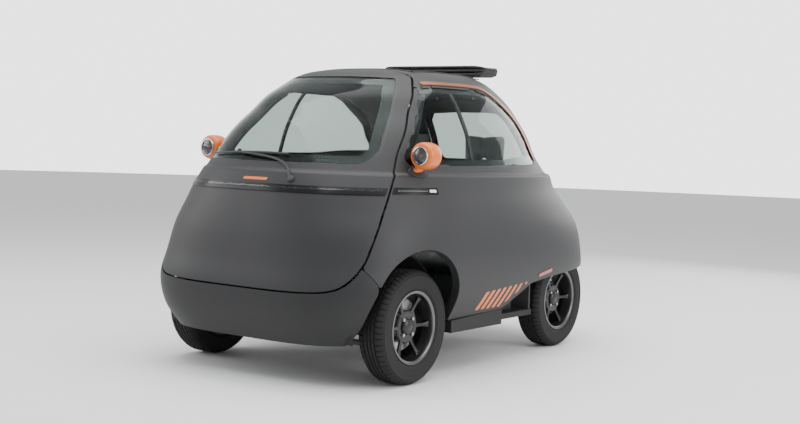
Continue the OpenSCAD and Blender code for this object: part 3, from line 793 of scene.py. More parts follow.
def add_sweep(bm: bmesh.types.BMesh, path: Sequence, sizes: Sequence, up: Sequence = (0, 0, 1),
              sides: int = 12, power: float = 1.0) -> None:
    """Sweeps an oval section along a path.

    Args:
        bm: the mesh that gets it.
        path: the points of the path.
        sizes: the half width and half height of the section at each point.
        up: the direction of the section's height.
        sides: the number of sides of the section.
        power: 1 for an oval, less for a fuller, squarer section.
    """
    path = [Vector(p) for p in path]
    rings = []
    for k, p in enumerate(path):
        ahead = (path[min(k + 1, len(path) - 1)] - path[max(k - 1, 0)]).normalized()
        across = ahead.cross(Vector(up)).normalized()
        high = across.cross(ahead)
        ring = []
        for i in range(sides):
            c, s = math.cos(2 * math.pi * i / sides), math.sin(2 * math.pi * i / sides)
            c, s = math.copysign(abs(c) ** power, c), math.copysign(abs(s) ** power, s)
            ring.append(p + across * sizes[k][0] * c + high * sizes[k][1] * s)
        rings.append(ring)
    add_grid(bm, rings)


def declare(obj: bpy.types.Object, body: str, slot: str, *nodes: str) -> bpy.types.Object:
    """Says which body a piece rides on and the nodes that it stands for.

    Args:
        obj: the object.
        body: the body that it rides on.
        slot: the record's material slot; not used.
        nodes: the plain nodes that it stands for.

    Returns:
        The object.
    """
    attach(obj, body)
    if nodes:
        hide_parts(*nodes)
    LOG.info("%s: %d faces on %s", obj.name, len(obj.data.polygons), body)
    return obj


# ---------------------------------------------------------------- finishes


class Effect(Enum):
    """The shader node groups that more than one finish uses."""

    GRAIN = "grain"
    WEAVE = "weave"
    DUST = "dust"


class EffectLibrary:
    """Builds each shared shader group once."""

    def __init__(self) -> None:
        """Starts with no group."""
        self.groups: dict = {}

    def get(self, effect: Effect) -> bpy.types.NodeTree:
        """Returns the group of an effect, built the first time.

        Args:
            effect: the effect.

        Returns:
            The group of an effect, built the first time.
        """
        if effect not in self.groups:
            build = {Effect.GRAIN: self._grain, Effect.WEAVE: self._weave, Effect.DUST: self._dust}
            self.groups[effect] = build[effect]()
        return self.groups[effect]

    @staticmethod
    def _tree(name: str, inputs: Sequence, outputs: Sequence) -> bpy.types.NodeTree:
        """Starts a group with named sockets.

        Args:
            name: the group's name.
            inputs: for each input its name, its kind and its value.
            outputs: for each output its name and its kind.

        Returns:
            The group, with one input node and one output node.
        """
        tree = bpy.data.node_groups.new(name, "ShaderNodeTree")
        for label, kind, value in inputs:
            socket = tree.interface.new_socket(label, in_out="INPUT", socket_type=kind)
            if value is not None:
                socket.default_value = value
        for label, kind in outputs:
            tree.interface.new_socket(label, in_out="OUTPUT", socket_type=kind)
        tree.nodes.new("NodeGroupInput").name = "in"
        tree.nodes.new("NodeGroupOutput").name = "out"
        return tree

    def _grain(self) -> bpy.types.NodeTree:
        """Fine moulded grain with slow changes of colour and gloss.

        Returns:
            The group.
        """
        tree = self._tree(
            "surface_grain",
            [("Vector", "NodeSocketVector", None), ("Scale", "NodeSocketFloat", 900.0),
             ("Color A", "NodeSocketColor", (0.1, 0.1, 0.1, 1)), ("Color B", "NodeSocketColor", (0.2, 0.2, 0.2, 1)),
             ("Rough Low", "NodeSocketFloat", 0.4), ("Rough High", "NodeSocketFloat", 0.6)],
            [("Color", "NodeSocketColor"), ("Roughness", "NodeSocketFloat"), ("Height", "NodeSocketFloat")],
        )
        nodes, links = tree.nodes, tree.links
        fine, broad = nodes.new("ShaderNodeTexNoise"), nodes.new("ShaderNodeTexNoise")
        fine.inputs["Detail"].default_value = 3
        broad.inputs["Scale"].default_value = 5
        broad.inputs["Detail"].default_value = 4
        mix, rough = nodes.new("ShaderNodeMix"), nodes.new("ShaderNodeMapRange")
        mix.data_type = "RGBA"
        group_in, group_out = nodes["in"], nodes["out"]
        links.new(group_in.outputs["Vector"], fine.inputs["Vector"])
        links.new(group_in.outputs["Vector"], broad.inputs["Vector"])
        links.new(group_in.outputs["Scale"], fine.inputs["Scale"])
        links.new(broad.outputs["Fac"], mix.inputs["Factor"])
        links.new(group_in.outputs["Color A"], mix.inputs[6])
        links.new(group_in.outputs["Color B"], mix.inputs[7])
        links.new(broad.outputs["Fac"], rough.inputs["Value"])
        links.new(group_in.outputs["Rough Low"], rough.inputs["To Min"])
        links.new(group_in.outputs["Rough High"], rough.inputs["To Max"])
        links.new(mix.outputs[2], group_out.inputs["Color"])
        links.new(rough.outputs["Result"], group_out.inputs["Roughness"])
        links.new(fine.outputs["Fac"], group_out.inputs["Height"])
        return tree

    def _weave(self) -> bpy.types.NodeTree:
        """Crossed threads, from two bands of waves.

        Returns:
            The group.
        """
        tree = self._tree(
            "thread_weave",
            [("Vector", "NodeSocketVector", None), ("Scale", "NodeSocketFloat", 300.0),
             ("Color A", "NodeSocketColor", (0.1, 0.1, 0.1, 1)), ("Color B", "NodeSocketColor", (0.2, 0.2, 0.2, 1))],
            [("Color", "NodeSocketColor"), ("Height", "NodeSocketFloat")],
        )
        nodes, links = tree.nodes, tree.links
        group_in, group_out = nodes["in"], nodes["out"]
        bands = []
        for direction in ("X", "DIAGONAL"):
            wave = nodes.new("ShaderNodeTexWave")
            wave.bands_direction = direction
            wave.inputs["Distortion"].default_value = 0.6
            links.new(group_in.outputs["Vector"], wave.inputs["Vector"])
            links.new(group_in.outputs["Scale"], wave.inputs["Scale"])
            bands.append(wave)
        height, noise, mix = (nodes.new(k) for k in ("ShaderNodeMath", "ShaderNodeTexNoise", "ShaderNodeMix"))
        height.operation = "MAXIMUM"
        mix.data_type = "RGBA"
        noise.inputs["Scale"].default_value = 9
        blend = nodes.new("ShaderNodeMath")
        blend.operation = "MULTIPLY"
        links.new(bands[0].outputs["Fac"], height.inputs[0])
        links.new(bands[1].outputs["Fac"], height.inputs[1])
        links.new(group_in.outputs["Vector"], noise.inputs["Vector"])
        links.new(height.outputs[0], blend.inputs[0])
        links.new(noise.outputs["Fac"], blend.inputs[1])
        links.new(blend.outputs[0], mix.inputs["Factor"])
        links.new(group_in.outputs["Color A"], mix.inputs[6])
        links.new(group_in.outputs["Color B"], mix.inputs[7])
        links.new(mix.outputs[2], group_out.inputs["Color"])
        links.new(height.outputs[0], group_out.inputs["Height"])
        return tree

    def _dust(self) -> bpy.types.NodeTree:
        """A little dust that gets thicker towards the ground.

        Returns:
            The group.
        """
        tree = self._tree(
            "road_dust",
            [("Vector", "NodeSocketVector", None), ("Color", "NodeSocketColor", (0.1, 0.1, 0.1, 1)),
             ("Dust", "NodeSocketColor", (0.2, 0.18, 0.16, 1)), ("Height", "NodeSocketFloat", 0.4),
             ("Amount", "NodeSocketFloat", 0.2)],
            [("Color", "NodeSocketColor")],
        )
        nodes, links = tree.nodes, tree.links
        group_in, group_out = nodes["in"], nodes["out"]
        split, span, noise = (nodes.new(k) for k in ("ShaderNodeSeparateXYZ", "ShaderNodeMapRange",
                                                     "ShaderNodeTexNoise"))
        noise.inputs["Scale"].default_value = 14
        noise.inputs["Detail"].default_value = 6
        span.inputs["To Min"].default_value = 1
        span.inputs["To Max"].default_value = 0
        first, second, mix = (nodes.new(k) for k in ("ShaderNodeMath", "ShaderNodeMath", "ShaderNodeMix"))
        first.operation = second.operation = "MULTIPLY"
        mix.data_type = "RGBA"
        links.new(group_in.outputs["Vector"], split.inputs[0])
        links.new(group_in.outputs["Vector"], noise.inputs["Vector"])
        links.new(split.outputs["Z"], span.inputs["Value"])
        links.new(group_in.outputs["Height"], span.inputs["From Max"])
        links.new(span.outputs["Result"], first.inputs[0])
        links.new(noise.outputs["Fac"], first.inputs[1])
        links.new(first.outputs[0], second.inputs[0])
        links.new(group_in.outputs["Amount"], second.inputs[1])
        links.new(second.outputs[0], mix.inputs["Factor"])
        links.new(group_in.outputs["Color"], mix.inputs[6])
        links.new(group_in.outputs["Dust"], mix.inputs[7])
        links.new(mix.outputs[2], group_out.inputs["Color"])
        return tree


EFFECTS = EffectLibrary()


@dataclass(frozen=True)
class Finish:
    """A painted, moulded or metal finish with grain and a little dust."""

    name: str
    colour: tuple
    second: tuple
    rough: tuple = (0.4, 0.5)
    grain: float = 900.0
    relief: float = 0.02
    relief_depth: float = 0.0005
    metallic: float = 0.0
    coat: float = 0.0
    coat_rough: float = 0.1
    sheen: float = 0.0
    specular: float = 0.5
    dust: float = 0.0
    dust_height: float = 0.5
    weave: float = 0.0

    def build(self) -> bpy.types.Material:
        """Builds the material.

        Returns:
            The material.
        """
        material = bpy.data.materials.new(self.name)
        material.use_nodes = True
        nodes, links = material.node_tree.nodes, material.node_tree.links
        shader = nodes["Principled BSDF"]
        shader.inputs["Metallic"].default_value = self.metallic
        shader.inputs["Coat Weight"].default_value = self.coat
        shader.inputs["Coat Roughness"].default_value = self.coat_rough
        shader.inputs["Sheen Weight"].default_value = self.sheen
        shader.inputs["Specular IOR Level"].default_value = self.specular
        place = nodes.new("ShaderNodeTexCoord")
        grain = nodes.new("ShaderNodeGroup")
        grain.node_tree = EFFECTS.get(Effect.GRAIN)
        grain.inputs["Scale"].default_value = self.grain
        grain.inputs["Color A"].default_value = (*self.colour, 1)
        grain.inputs["Color B"].default_value = (*self.second, 1)
        grain.inputs["Rough Low"].default_value = self.rough[0]
        grain.inputs["Rough High"].default_value = self.rough[1]
        links.new(place.outputs["Object"], grain.inputs["Vector"])
        colour, height = grain.outputs["Color"], grain.outputs["Height"]
        if self.weave > 0:
            weave = nodes.new("ShaderNodeGroup")
            weave.node_tree = EFFECTS.get(Effect.WEAVE)
            weave.inputs["Scale"].default_value = self.weave
            weave.inputs["Color A"].default_value = (*self.colour, 1)
            weave.inputs["Color B"].default_value = (*self.second, 1)
            links.new(place.outputs["Object"], weave.inputs["Vector"])
            colour, height = weave.outputs["Color"], weave.outputs["Height"]
        if self.dust > 0:
            dust = nodes.new("ShaderNodeGroup")
            dust.node_tree = EFFECTS.get(Effect.DUST)
            dust.inputs["Height"].default_value = self.dust_height
            dust.inputs["Amount"].default_value = self.dust
            links.new(place.outputs["Object"], dust.inputs["Vector"])
            links.new(colour, dust.inputs["Color"])
            colour = dust.outputs["Color"]
        bump = nodes.new("ShaderNodeBump")
        bump.inputs["Strength"].default_value = self.relief
        bump.inputs["Distance"].default_value = self.relief_depth
        links.new(colour, shader.inputs["Base Color"])
        links.new(grain.outputs["Roughness"], shader.inputs["Roughness"])
        links.new(height, bump.inputs["Height"])
        links.new(bump.outputs["Normal"], shader.inputs["Normal"])
        return material


@dataclass(frozen=True)
class GlassFinish:
    """Clear or tinted glass or plastic that light passes through."""

    name: str
    colour: tuple
    rough: float = 0.02
    ior: float = 1.45
    transmission: float = 1.0
    ripple: float = 0.01

    def build(self) -> bpy.types.Material:
        """Builds the material.

        Returns:
            The material.
        """
        material = bpy.data.materials.new(self.name)
        material.use_nodes = True
        nodes, links = material.node_tree.nodes, material.node_tree.links
        shader = nodes["Principled BSDF"]
        shader.inputs["Base Color"].default_value = (*self.colour, 1)
        shader.inputs["Roughness"].default_value = self.rough
        shader.inputs["IOR"].default_value = self.ior
        shader.inputs["Metallic"].default_value = 0.0
        shader.inputs["Transmission Weight"].default_value = self.transmission
        place, noise, bump = (nodes.new(k) for k in ("ShaderNodeTexCoord", "ShaderNodeTexNoise", "ShaderNodeBump"))
        noise.inputs["Scale"].default_value = 6
        bump.inputs["Strength"].default_value = self.ripple
        bump.inputs["Distance"].default_value = 0.002
        links.new(place.outputs["Object"], noise.inputs["Vector"])
        links.new(noise.outputs["Fac"], bump.inputs["Height"])
        links.new(bump.outputs["Normal"], shader.inputs["Normal"])
        return material


FINISHES = {
    finish.name: finish
    for finish in (
        Finish("satin_grey_paint", (0.019, 0.0192, 0.0205), (0.022, 0.0222, 0.0236), (0.46, 0.52), 1400, 0.03,
               0.0002, specular=0.34),
        # The bumper paint is the body paint made darker as painted shade on the low bumpers, with a little real dust.
        Finish("satin_bumper_paint_shaded", (0.014, 0.0142, 0.0152), (0.018, 0.0182, 0.0192), (0.48, 0.56), 1400, 0.04,
               0.0002, specular=0.30, dust=0.02),
        Finish("orange_paint", (0.62, 0.120, 0.006), (0.68, 0.145, 0.010), (0.28, 0.36), 1400, 0.02, 0.0002,
               coat=0.15, coat_rough=0.15),
        Finish("copper_trim", (0.225, 0.066, 0.026), (0.27, 0.082, 0.034), (0.34, 0.42), 1400, 0.02, 0.0002,
               metallic=0.3, specular=0.4),
        Finish("black_plastic", (0.018, 0.018, 0.019), (0.026, 0.026, 0.027), (0.52, 0.66), 650, 0.22, 0.0004),
        Finish("under_plastic", (0.010, 0.010, 0.010), (0.016, 0.016, 0.016), (0.62, 0.76), 420, 0.25, 0.0006,
               specular=0.35, dust=0.06),
        Finish("gloss_black", (0.004, 0.004, 0.005), (0.007, 0.007, 0.008), (0.18, 0.26), 1400, 0.01, 0.0001,
               specular=0.22),
        Finish("cabin_trim", (0.018, 0.0185, 0.020), (0.026, 0.0265, 0.028), (0.58, 0.72), 520, 0.25, 0.0005),
        Finish("headliner", (0.030, 0.030, 0.032), (0.040, 0.040, 0.042), (0.85, 0.95), 900, 0.35, 0.0006, sheen=0.2),
        Finish("rubber_seal", (0.012, 0.012, 0.012), (0.018, 0.018, 0.018), (0.45, 0.6), 900, 0.12, 0.0003),
        Finish("tyre_rubber", (0.007, 0.007, 0.007), (0.012, 0.012, 0.0115), (0.66, 0.80), 500, 0.30, 0.0005,
               specular=0.3, dust=0.02, dust_height=0.55),
        Finish("rim_black", (0.007, 0.007, 0.008), (0.011, 0.011, 0.012), (0.26, 0.36), 1400, 0.03, 0.0002,
               specular=0.45),
        Finish("rim_lip", (0.11, 0.11, 0.115), (0.15, 0.15, 0.155), (0.20, 0.30), 1400, 0.03, 0.0002, metallic=1.0),
        Finish("chrome", (0.72, 0.72, 0.74), (0.78, 0.78, 0.80), (0.07, 0.12), 1400, 0.01, 0.0001, metallic=1.0),
        Finish("bright_steel", (0.36, 0.36, 0.37), (0.46, 0.46, 0.47), (0.28, 0.42), 700, 0.10, 0.0003, metallic=1.0),
        Finish("dark_steel", (0.040, 0.040, 0.042), (0.060, 0.060, 0.062), (0.42, 0.58), 300, 0.25, 0.0006,
               metallic=0.6, dust=0.25),
        Finish("motor_casting", (0.22, 0.225, 0.225), (0.30, 0.305, 0.305), (0.45, 0.62), 260, 0.40, 0.0010,
               metallic=0.8, dust=0.25),
        Finish("seat_fabric", (0.040, 0.042, 0.046), (0.095, 0.098, 0.105), (0.85, 0.95), 900, 0.35, 0.0008,
               sheen=0.35, weave=260),
        Finish("seat_piping", (0.55, 0.14, 0.02), (0.62, 0.17, 0.03), (0.6, 0.7), 900, 0.2, 0.0004),
        Finish("roof_fabric", (0.010, 0.010, 0.011), (0.026, 0.026, 0.028), (0.75, 0.9), 900, 0.30, 0.0007,
               sheen=0.15, weave=330),
        Finish("cabin_carpet", (0.020, 0.020, 0.021), (0.045, 0.045, 0.047), (0.9, 1.0), 500, 0.6, 0.002, sheen=0.3),
        Finish("plate_white", (0.72, 0.72, 0.70), (0.78, 0.78, 0.76), (0.32, 0.4), 900, 0.05, 0.0003),
        Finish("lamp_bowl", (0.085, 0.095, 0.105), (0.12, 0.13, 0.14), (0.2, 0.3), 900, 0.02, 0.0002, metallic=0.6),
        Finish("lamp_white", (0.78, 0.80, 0.82), (0.86, 0.88, 0.90), (0.15, 0.25), 900, 0.02, 0.0002),
        Finish("reflector_red", (0.30, 0.012, 0.010), (0.38, 0.02, 0.014), (0.16, 0.24), 500, 0.5, 0.0006,
               coat=0.5, coat_rough=0.05),
        Finish("display_black", (0.006, 0.007, 0.009), (0.010, 0.012, 0.015), (0.08, 0.12), 1400, 0.01, 0.0001),
        Finish("spring_steel", (0.08, 0.08, 0.085), (0.12, 0.12, 0.125), (0.4, 0.5), 500, 0.1, 0.0004, metallic=0.7),
    )
}
GLASSES = {
    finish.name: finish
    for finish in (
        GlassFinish("window_glass", (0.78, 0.87, 0.84), 0.01, ior=1.12),
        GlassFinish("lamp_glass", (0.80, 0.83, 0.85), 0.04),
        GlassFinish("tail_lens", (0.55, 0.02, 0.015), 0.08, transmission=0.6),
    )
}


class Palette:
    """Builds each finish once and hands out its material."""

    def __init__(self) -> None:
        """Starts with no material."""
        self.made: dict = {}

    def __getitem__(self, name: str) -> bpy.types.Material:
        """Returns the material of a finish.

        Args:
            name: the piece's name.

        Returns:
            The material of a finish.
        """
        if name not in self.made:
            finish = FINISHES.get(name) or GLASSES[name]
            self.made[name] = finish.build()
        return self.made[name]


PALETTE = Palette()


# ---------------------------------------------------------------- things that repeat


@dataclass(frozen=True)
class Fixing:
    """A small turned piece that Geometry Nodes set on many places."""

    radius: float
    length: float
    tip: float
    sides: int = 6
    body: str = "root"
    slot: str = "dark_steel"
    finish: str = "bright_steel"

    def _tree(self, material: bpy.types.Material) -> bpy.types.NodeTree:
        """Builds the tree that puts the piece on every corner of its mesh and turns it outwards.

        Args:
            material: the material that it is given.

        Returns:
            The group.
        """
        tree = bpy.data.node_groups.new("fixings", "GeometryNodeTree")
        face = tree.interface
        face.new_socket("Geometry", in_out="INPUT", socket_type="NodeSocketGeometry")
        for label in ("Radius", "Tip", "Length"):
            face.new_socket(label, in_out="INPUT", socket_type="NodeSocketFloat")
        face.new_socket("Sides", in_out="INPUT", socket_type="NodeSocketInt")
        face.new_socket("Geometry", in_out="OUTPUT", socket_type="NodeSocketGeometry")
        nodes, links = tree.nodes, tree.links
        inputs, outputs = nodes.new("NodeGroupInput"), nodes.new("NodeGroupOutput")
        cone = nodes.new("GeometryNodeMeshCone")
        links.new(inputs.outputs["Radius"], cone.inputs["Radius Bottom"])
        links.new(inputs.outputs["Tip"], cone.inputs["Radius Top"])
        links.new(inputs.outputs["Length"], cone.inputs["Depth"])
        links.new(inputs.outputs["Sides"], cone.inputs["Vertices"])
        facing = nodes.new("GeometryNodeInputNamedAttribute")
        facing.data_type = "FLOAT_VECTOR"
        facing.inputs["Name"].default_value = "facing"
        turn = nodes.new("FunctionNodeAlignRotationToVector")
        turn.axis = "Z"
        links.new(facing.outputs["Attribute"], turn.inputs["Vector"])
        put = nodes.new("GeometryNodeInstanceOnPoints")
        links.new(inputs.outputs["Geometry"], put.inputs["Points"])
        links.new(cone.outputs["Mesh"], put.inputs["Instance"])
        links.new(turn.outputs["Rotation"], put.inputs["Rotation"])
        real = nodes.new("GeometryNodeRealizeInstances")
        links.new(put.outputs["Instances"], real.inputs["Geometry"])
        paint = nodes.new("GeometryNodeSetMaterial")
        paint.inputs["Material"].default_value = material
        links.new(real.outputs["Geometry"], paint.inputs["Geometry"])
        links.new(paint.outputs["Geometry"], outputs.inputs["Geometry"])
        return tree

    def scatter(self, name: str, places: Sequence) -> bpy.types.Object:
        """Sets the pieces and makes them one plain mesh.

        Args:
            name: the name of the result.
            places: pairs of a point and the direction that the piece faces.

        Returns:
            The object.
        """
        seeds = bpy.data.meshes.new(name + "_places")
        seeds.from_pydata([tuple(p) for p, _ in places], [], [])
        facing = seeds.attributes.new("facing", "FLOAT_VECTOR", "POINT")
        facing.data.foreach_set("vector", np.array([tuple(d) for _, d in places], float).ravel())
        holder = new_object(name + "_holder", seeds)
        modifier = holder.modifiers.new("fixings", "NODES")
        modifier.node_group = self._tree(PALETTE[self.finish])
        values = {"Radius": self.radius, "Tip": self.tip, "Length": self.length, "Sides": self.sides}
        for item in modifier.node_group.interface.items_tree:
            if item.in_out == "INPUT" and item.name in values:
                modifier[item.identifier] = values[item.name]
        graph = bpy.context.evaluated_depsgraph_get()
        mesh = bpy.data.meshes.new_from_object(holder.evaluated_get(graph))
        mesh.name = name
        holder.modifiers.remove(modifier)
        bpy.data.objects.remove(holder)
        bpy.data.meshes.remove(seeds)
        obj = bpy.data.objects.new(name, mesh)
        bpy.context.scene.collection.objects.link(obj)
        return declare(obj, self.body, self.slot)


# ---------------------------------------------------------------- body


@dataclass
class BodyPanels:
    """The painted panels, each as thick as the whole wall."""

    wall: float = 0.045
    roof_wall: float = 0.030
    pocket_skin: float = 0.006
    pocket_low: float = 0.744
    pocket_high: float = 0.838
    pocket_front: float = -1.040
    pocket_rear: float = -0.664
    wheel_y: float = -0.750
    wheel_z: float = 0.2665
    wheel_sweep: float = 0.334
    thin_edge: float = 0.010

    def _pocket_depth(self, points: Array) -> Array:
        """Returns the wall's thickness, thin where the door hinges swing.

        Args:
            points: the points, a row each.

        Returns:
            The wall's thickness, thin where the door hinges swing.
        """
        soft = 0.02
        inside = (
            smooth_step(points[:, 2], self.pocket_low - soft, self.pocket_low)
            * (1 - smooth_step(points[:, 2], self.pocket_high, self.pocket_high + soft))
            * smooth_step(points[:, 1], self.pocket_front - soft, self.pocket_front)
            * (1 - smooth_step(points[:, 1], self.pocket_rear, self.pocket_rear + soft))
        )
        return self.wall - (self.wall - self.pocket_skin) * inside

    def _nose_depth(self, points: Array) -> Array:
        """Returns the bumper's thickness, thin where the steered front wheels come near."""
        reach = np.hypot(points[:, 1] - self.wheel_y, points[:, 2] - self.wheel_z) - self.wheel_sweep
        return np.clip(reach, self.thin_edge, self.wall)

    def build(self) -> None:
        """Builds every panel in place of its plain node."""
        # The bumpers take the darker bumper paint, whose darkness is painted shade.
        paint, bumper, trim = PALETTE["satin_grey_paint"], PALETTE["satin_bumper_paint_shaded"], PALETTE["cabin_trim"]
        door = Patch(SEAMS.door_panel, (180, 360), (0.42, 1.493)).build()
        declare(sheet_object("front_door_shell", door, paint, trim), "door", "body_paint", "front_door")
        nose = Patch(SEAMS.front_bumper, (180, 360), (0.19, 0.58), inner_depth=self._nose_depth).build()
        declare(sheet_object("front_bumper_shell", nose, bumper, PALETTE["under_plastic"]), "root",
                "bumper_paint", "front_bumper")
        right = Patch(SEAMS.side_panel, (-88, 88), (0.25, 1.493)).build()
        declare(sheet_object("side_panel_right_shell", right.mirrored(), paint, trim), "root", "body_paint",
                "side_panel_right")
        left = Patch(SEAMS.side_panel, (-88, 88), (0.25, 1.493), inner_depth=self._pocket_depth).build()
        declare(sheet_object("side_panel_left_shell", left, paint, trim), "root", "body_paint", "side_panel_left")
        roof = Patch(SEAMS.roof_panel, (0, 360), (1.36, 1.493), depth=self.roof_wall).build()
        declare(sheet_object("roof_panel_shell", roof, paint, PALETTE["headliner"]), "root", "body_paint",
                "roof_panel")
        hatch = Patch(SEAMS.tailgate, (0, 180), (0.62, 1.45)).build()
        declare(sheet_object("tailgate_shell", hatch, paint, trim), "tailgate", "body_paint", "rear_hatch")
        tail = Patch(SEAMS.rear_bumper, (0, 180), (0.38, 0.66)).build()
        declare(sheet_object("rear_bumper_shell", tail, bumper, PALETTE["under_plastic"]), "root",
                "bumper_paint", "rear_bumper")


@dataclass
class Glazing:
    """The windows with their rubber seals and black borders."""

    inset: float = 0.003
    thickness: float = 0.005
    play: float = 0.0006
    border: float = 0.030
    seal: float = 0.007

    def _pane(self, name: str, region: Region, angles: tuple, heights: tuple, body: str, node: str,
              mirror: bool = False, border: Optional[Region] = None) -> None:
        """Builds one window.

        Args:
            name: the name that its pieces start with.
            region: the distance inside the window.
            angles: the stretch of the body around it.
            heights: the stretch of the body above and below it.
            body: the body that it rides on.
            node: the plain node that it stands for.
            mirror: whether it is the one on the car's right.
            border: the black border, if it isn't even all round.
        """
        if border is None:
            border = self._even_border(region)
        parts = (
            ("glass", lambda p: region(p) - self.play, self.inset, self.thickness, 0.0012, "window_glass"),
            ("border", border, self.inset + self.thickness + 0.0002, 0.0008, 0.0003, "gloss_black"),
            ("seal", lambda p: np.minimum(region(p) + 0.0016, self.seal - region(p)), 0.0004, 0.0026, 0.0012,
             "rubber_seal"),
        )
        for label, zone, outer, depth, edge, finish in parts:
            sheet = Patch(zone, angles, heights, outer, depth, edge, step=0.016 if label == "glass" else 0.010).build()
            sheet = sheet.mirrored() if mirror else sheet
            obj = sheet_object(f"{name}_{label}", sheet, PALETTE[finish])
            slot = "window_glass" if label == "glass" else "gloss_black" if label == "border" else "black_plastic"
            declare(obj, body, slot, *([node] if label == "glass" else []))

    def _even_border(self, region: Region) -> Region:
        """Returns a border of even width along a window's edge."""
        return lambda p: np.minimum(region(p) - self.play, self.border - region(p))

    def _side_border(self, points: Array) -> Array:
        """Returns the side windows' border, wide along the tail and filled at the front corner.

        Args:
            points: the points, a row each.

        Returns:
            The side windows' border, wide along the tail and filled at the front corner.
        """
        region = SEAMS.side_pane(points)
        wide = self.border + 0.014 * smooth_step(points[:, 1], 0.0, 0.30)
        corner = -0.630 - 0.4 * (points[:, 2] - 1.02) - points[:, 1]
        return np.minimum(region - self.play, np.maximum(wide - region, corner))

    def build(self) -> None:
        """Builds the four windows."""
        self._pane("windscreen", SEAMS.windscreen, (180, 360), (0.98, 1.46), "door", "windscreen",
                   border=lambda p: np.minimum(SEAMS.windscreen(p) - self.play,
                                               self.border + 0.010 - SEAMS.windscreen(p)))
        for name, sign in SIDES:
            self._pane(f"side_window_{name}", SEAMS.side_pane, (-85, 85), (0.98, 1.44), "root",
                       f"side_window_{name}", mirror=sign < 0, border=self._side_border)
            self._divider(name, sign)
        self._pane("rear_window", SEAMS.rear_pane, (0, 180), (0.98, 1.38), "tailgate", "rear_window")

    def _divider(self, name: str, sign: int) -> None:
        """Builds the upright bar behind a side window, between its fixed and its sliding pane.

        Args:
            name: the piece's name.
            sign: 1 for the car's left, -1 for its right.
        """
        def bar(p: Array) -> Array:
            """Inside the bar, and inside the window."""
            line = distance_to_line(side(p), mm([(-251, 1000), (-238, 1500)]))
            return np.minimum(0.011 - line, SEAMS.side_pane(p) - 0.004)

        sheet = Patch(bar, (-85, 85), (0.98, 1.44), 0.0085, 0.012, 0.002, step=0.008).build()
        sheet = sheet if sign > 0 else sheet.mirrored()
        declare(sheet_object(f"window_divider_{name}", sheet, PALETTE["black_plastic"]), "root", "black_plastic")


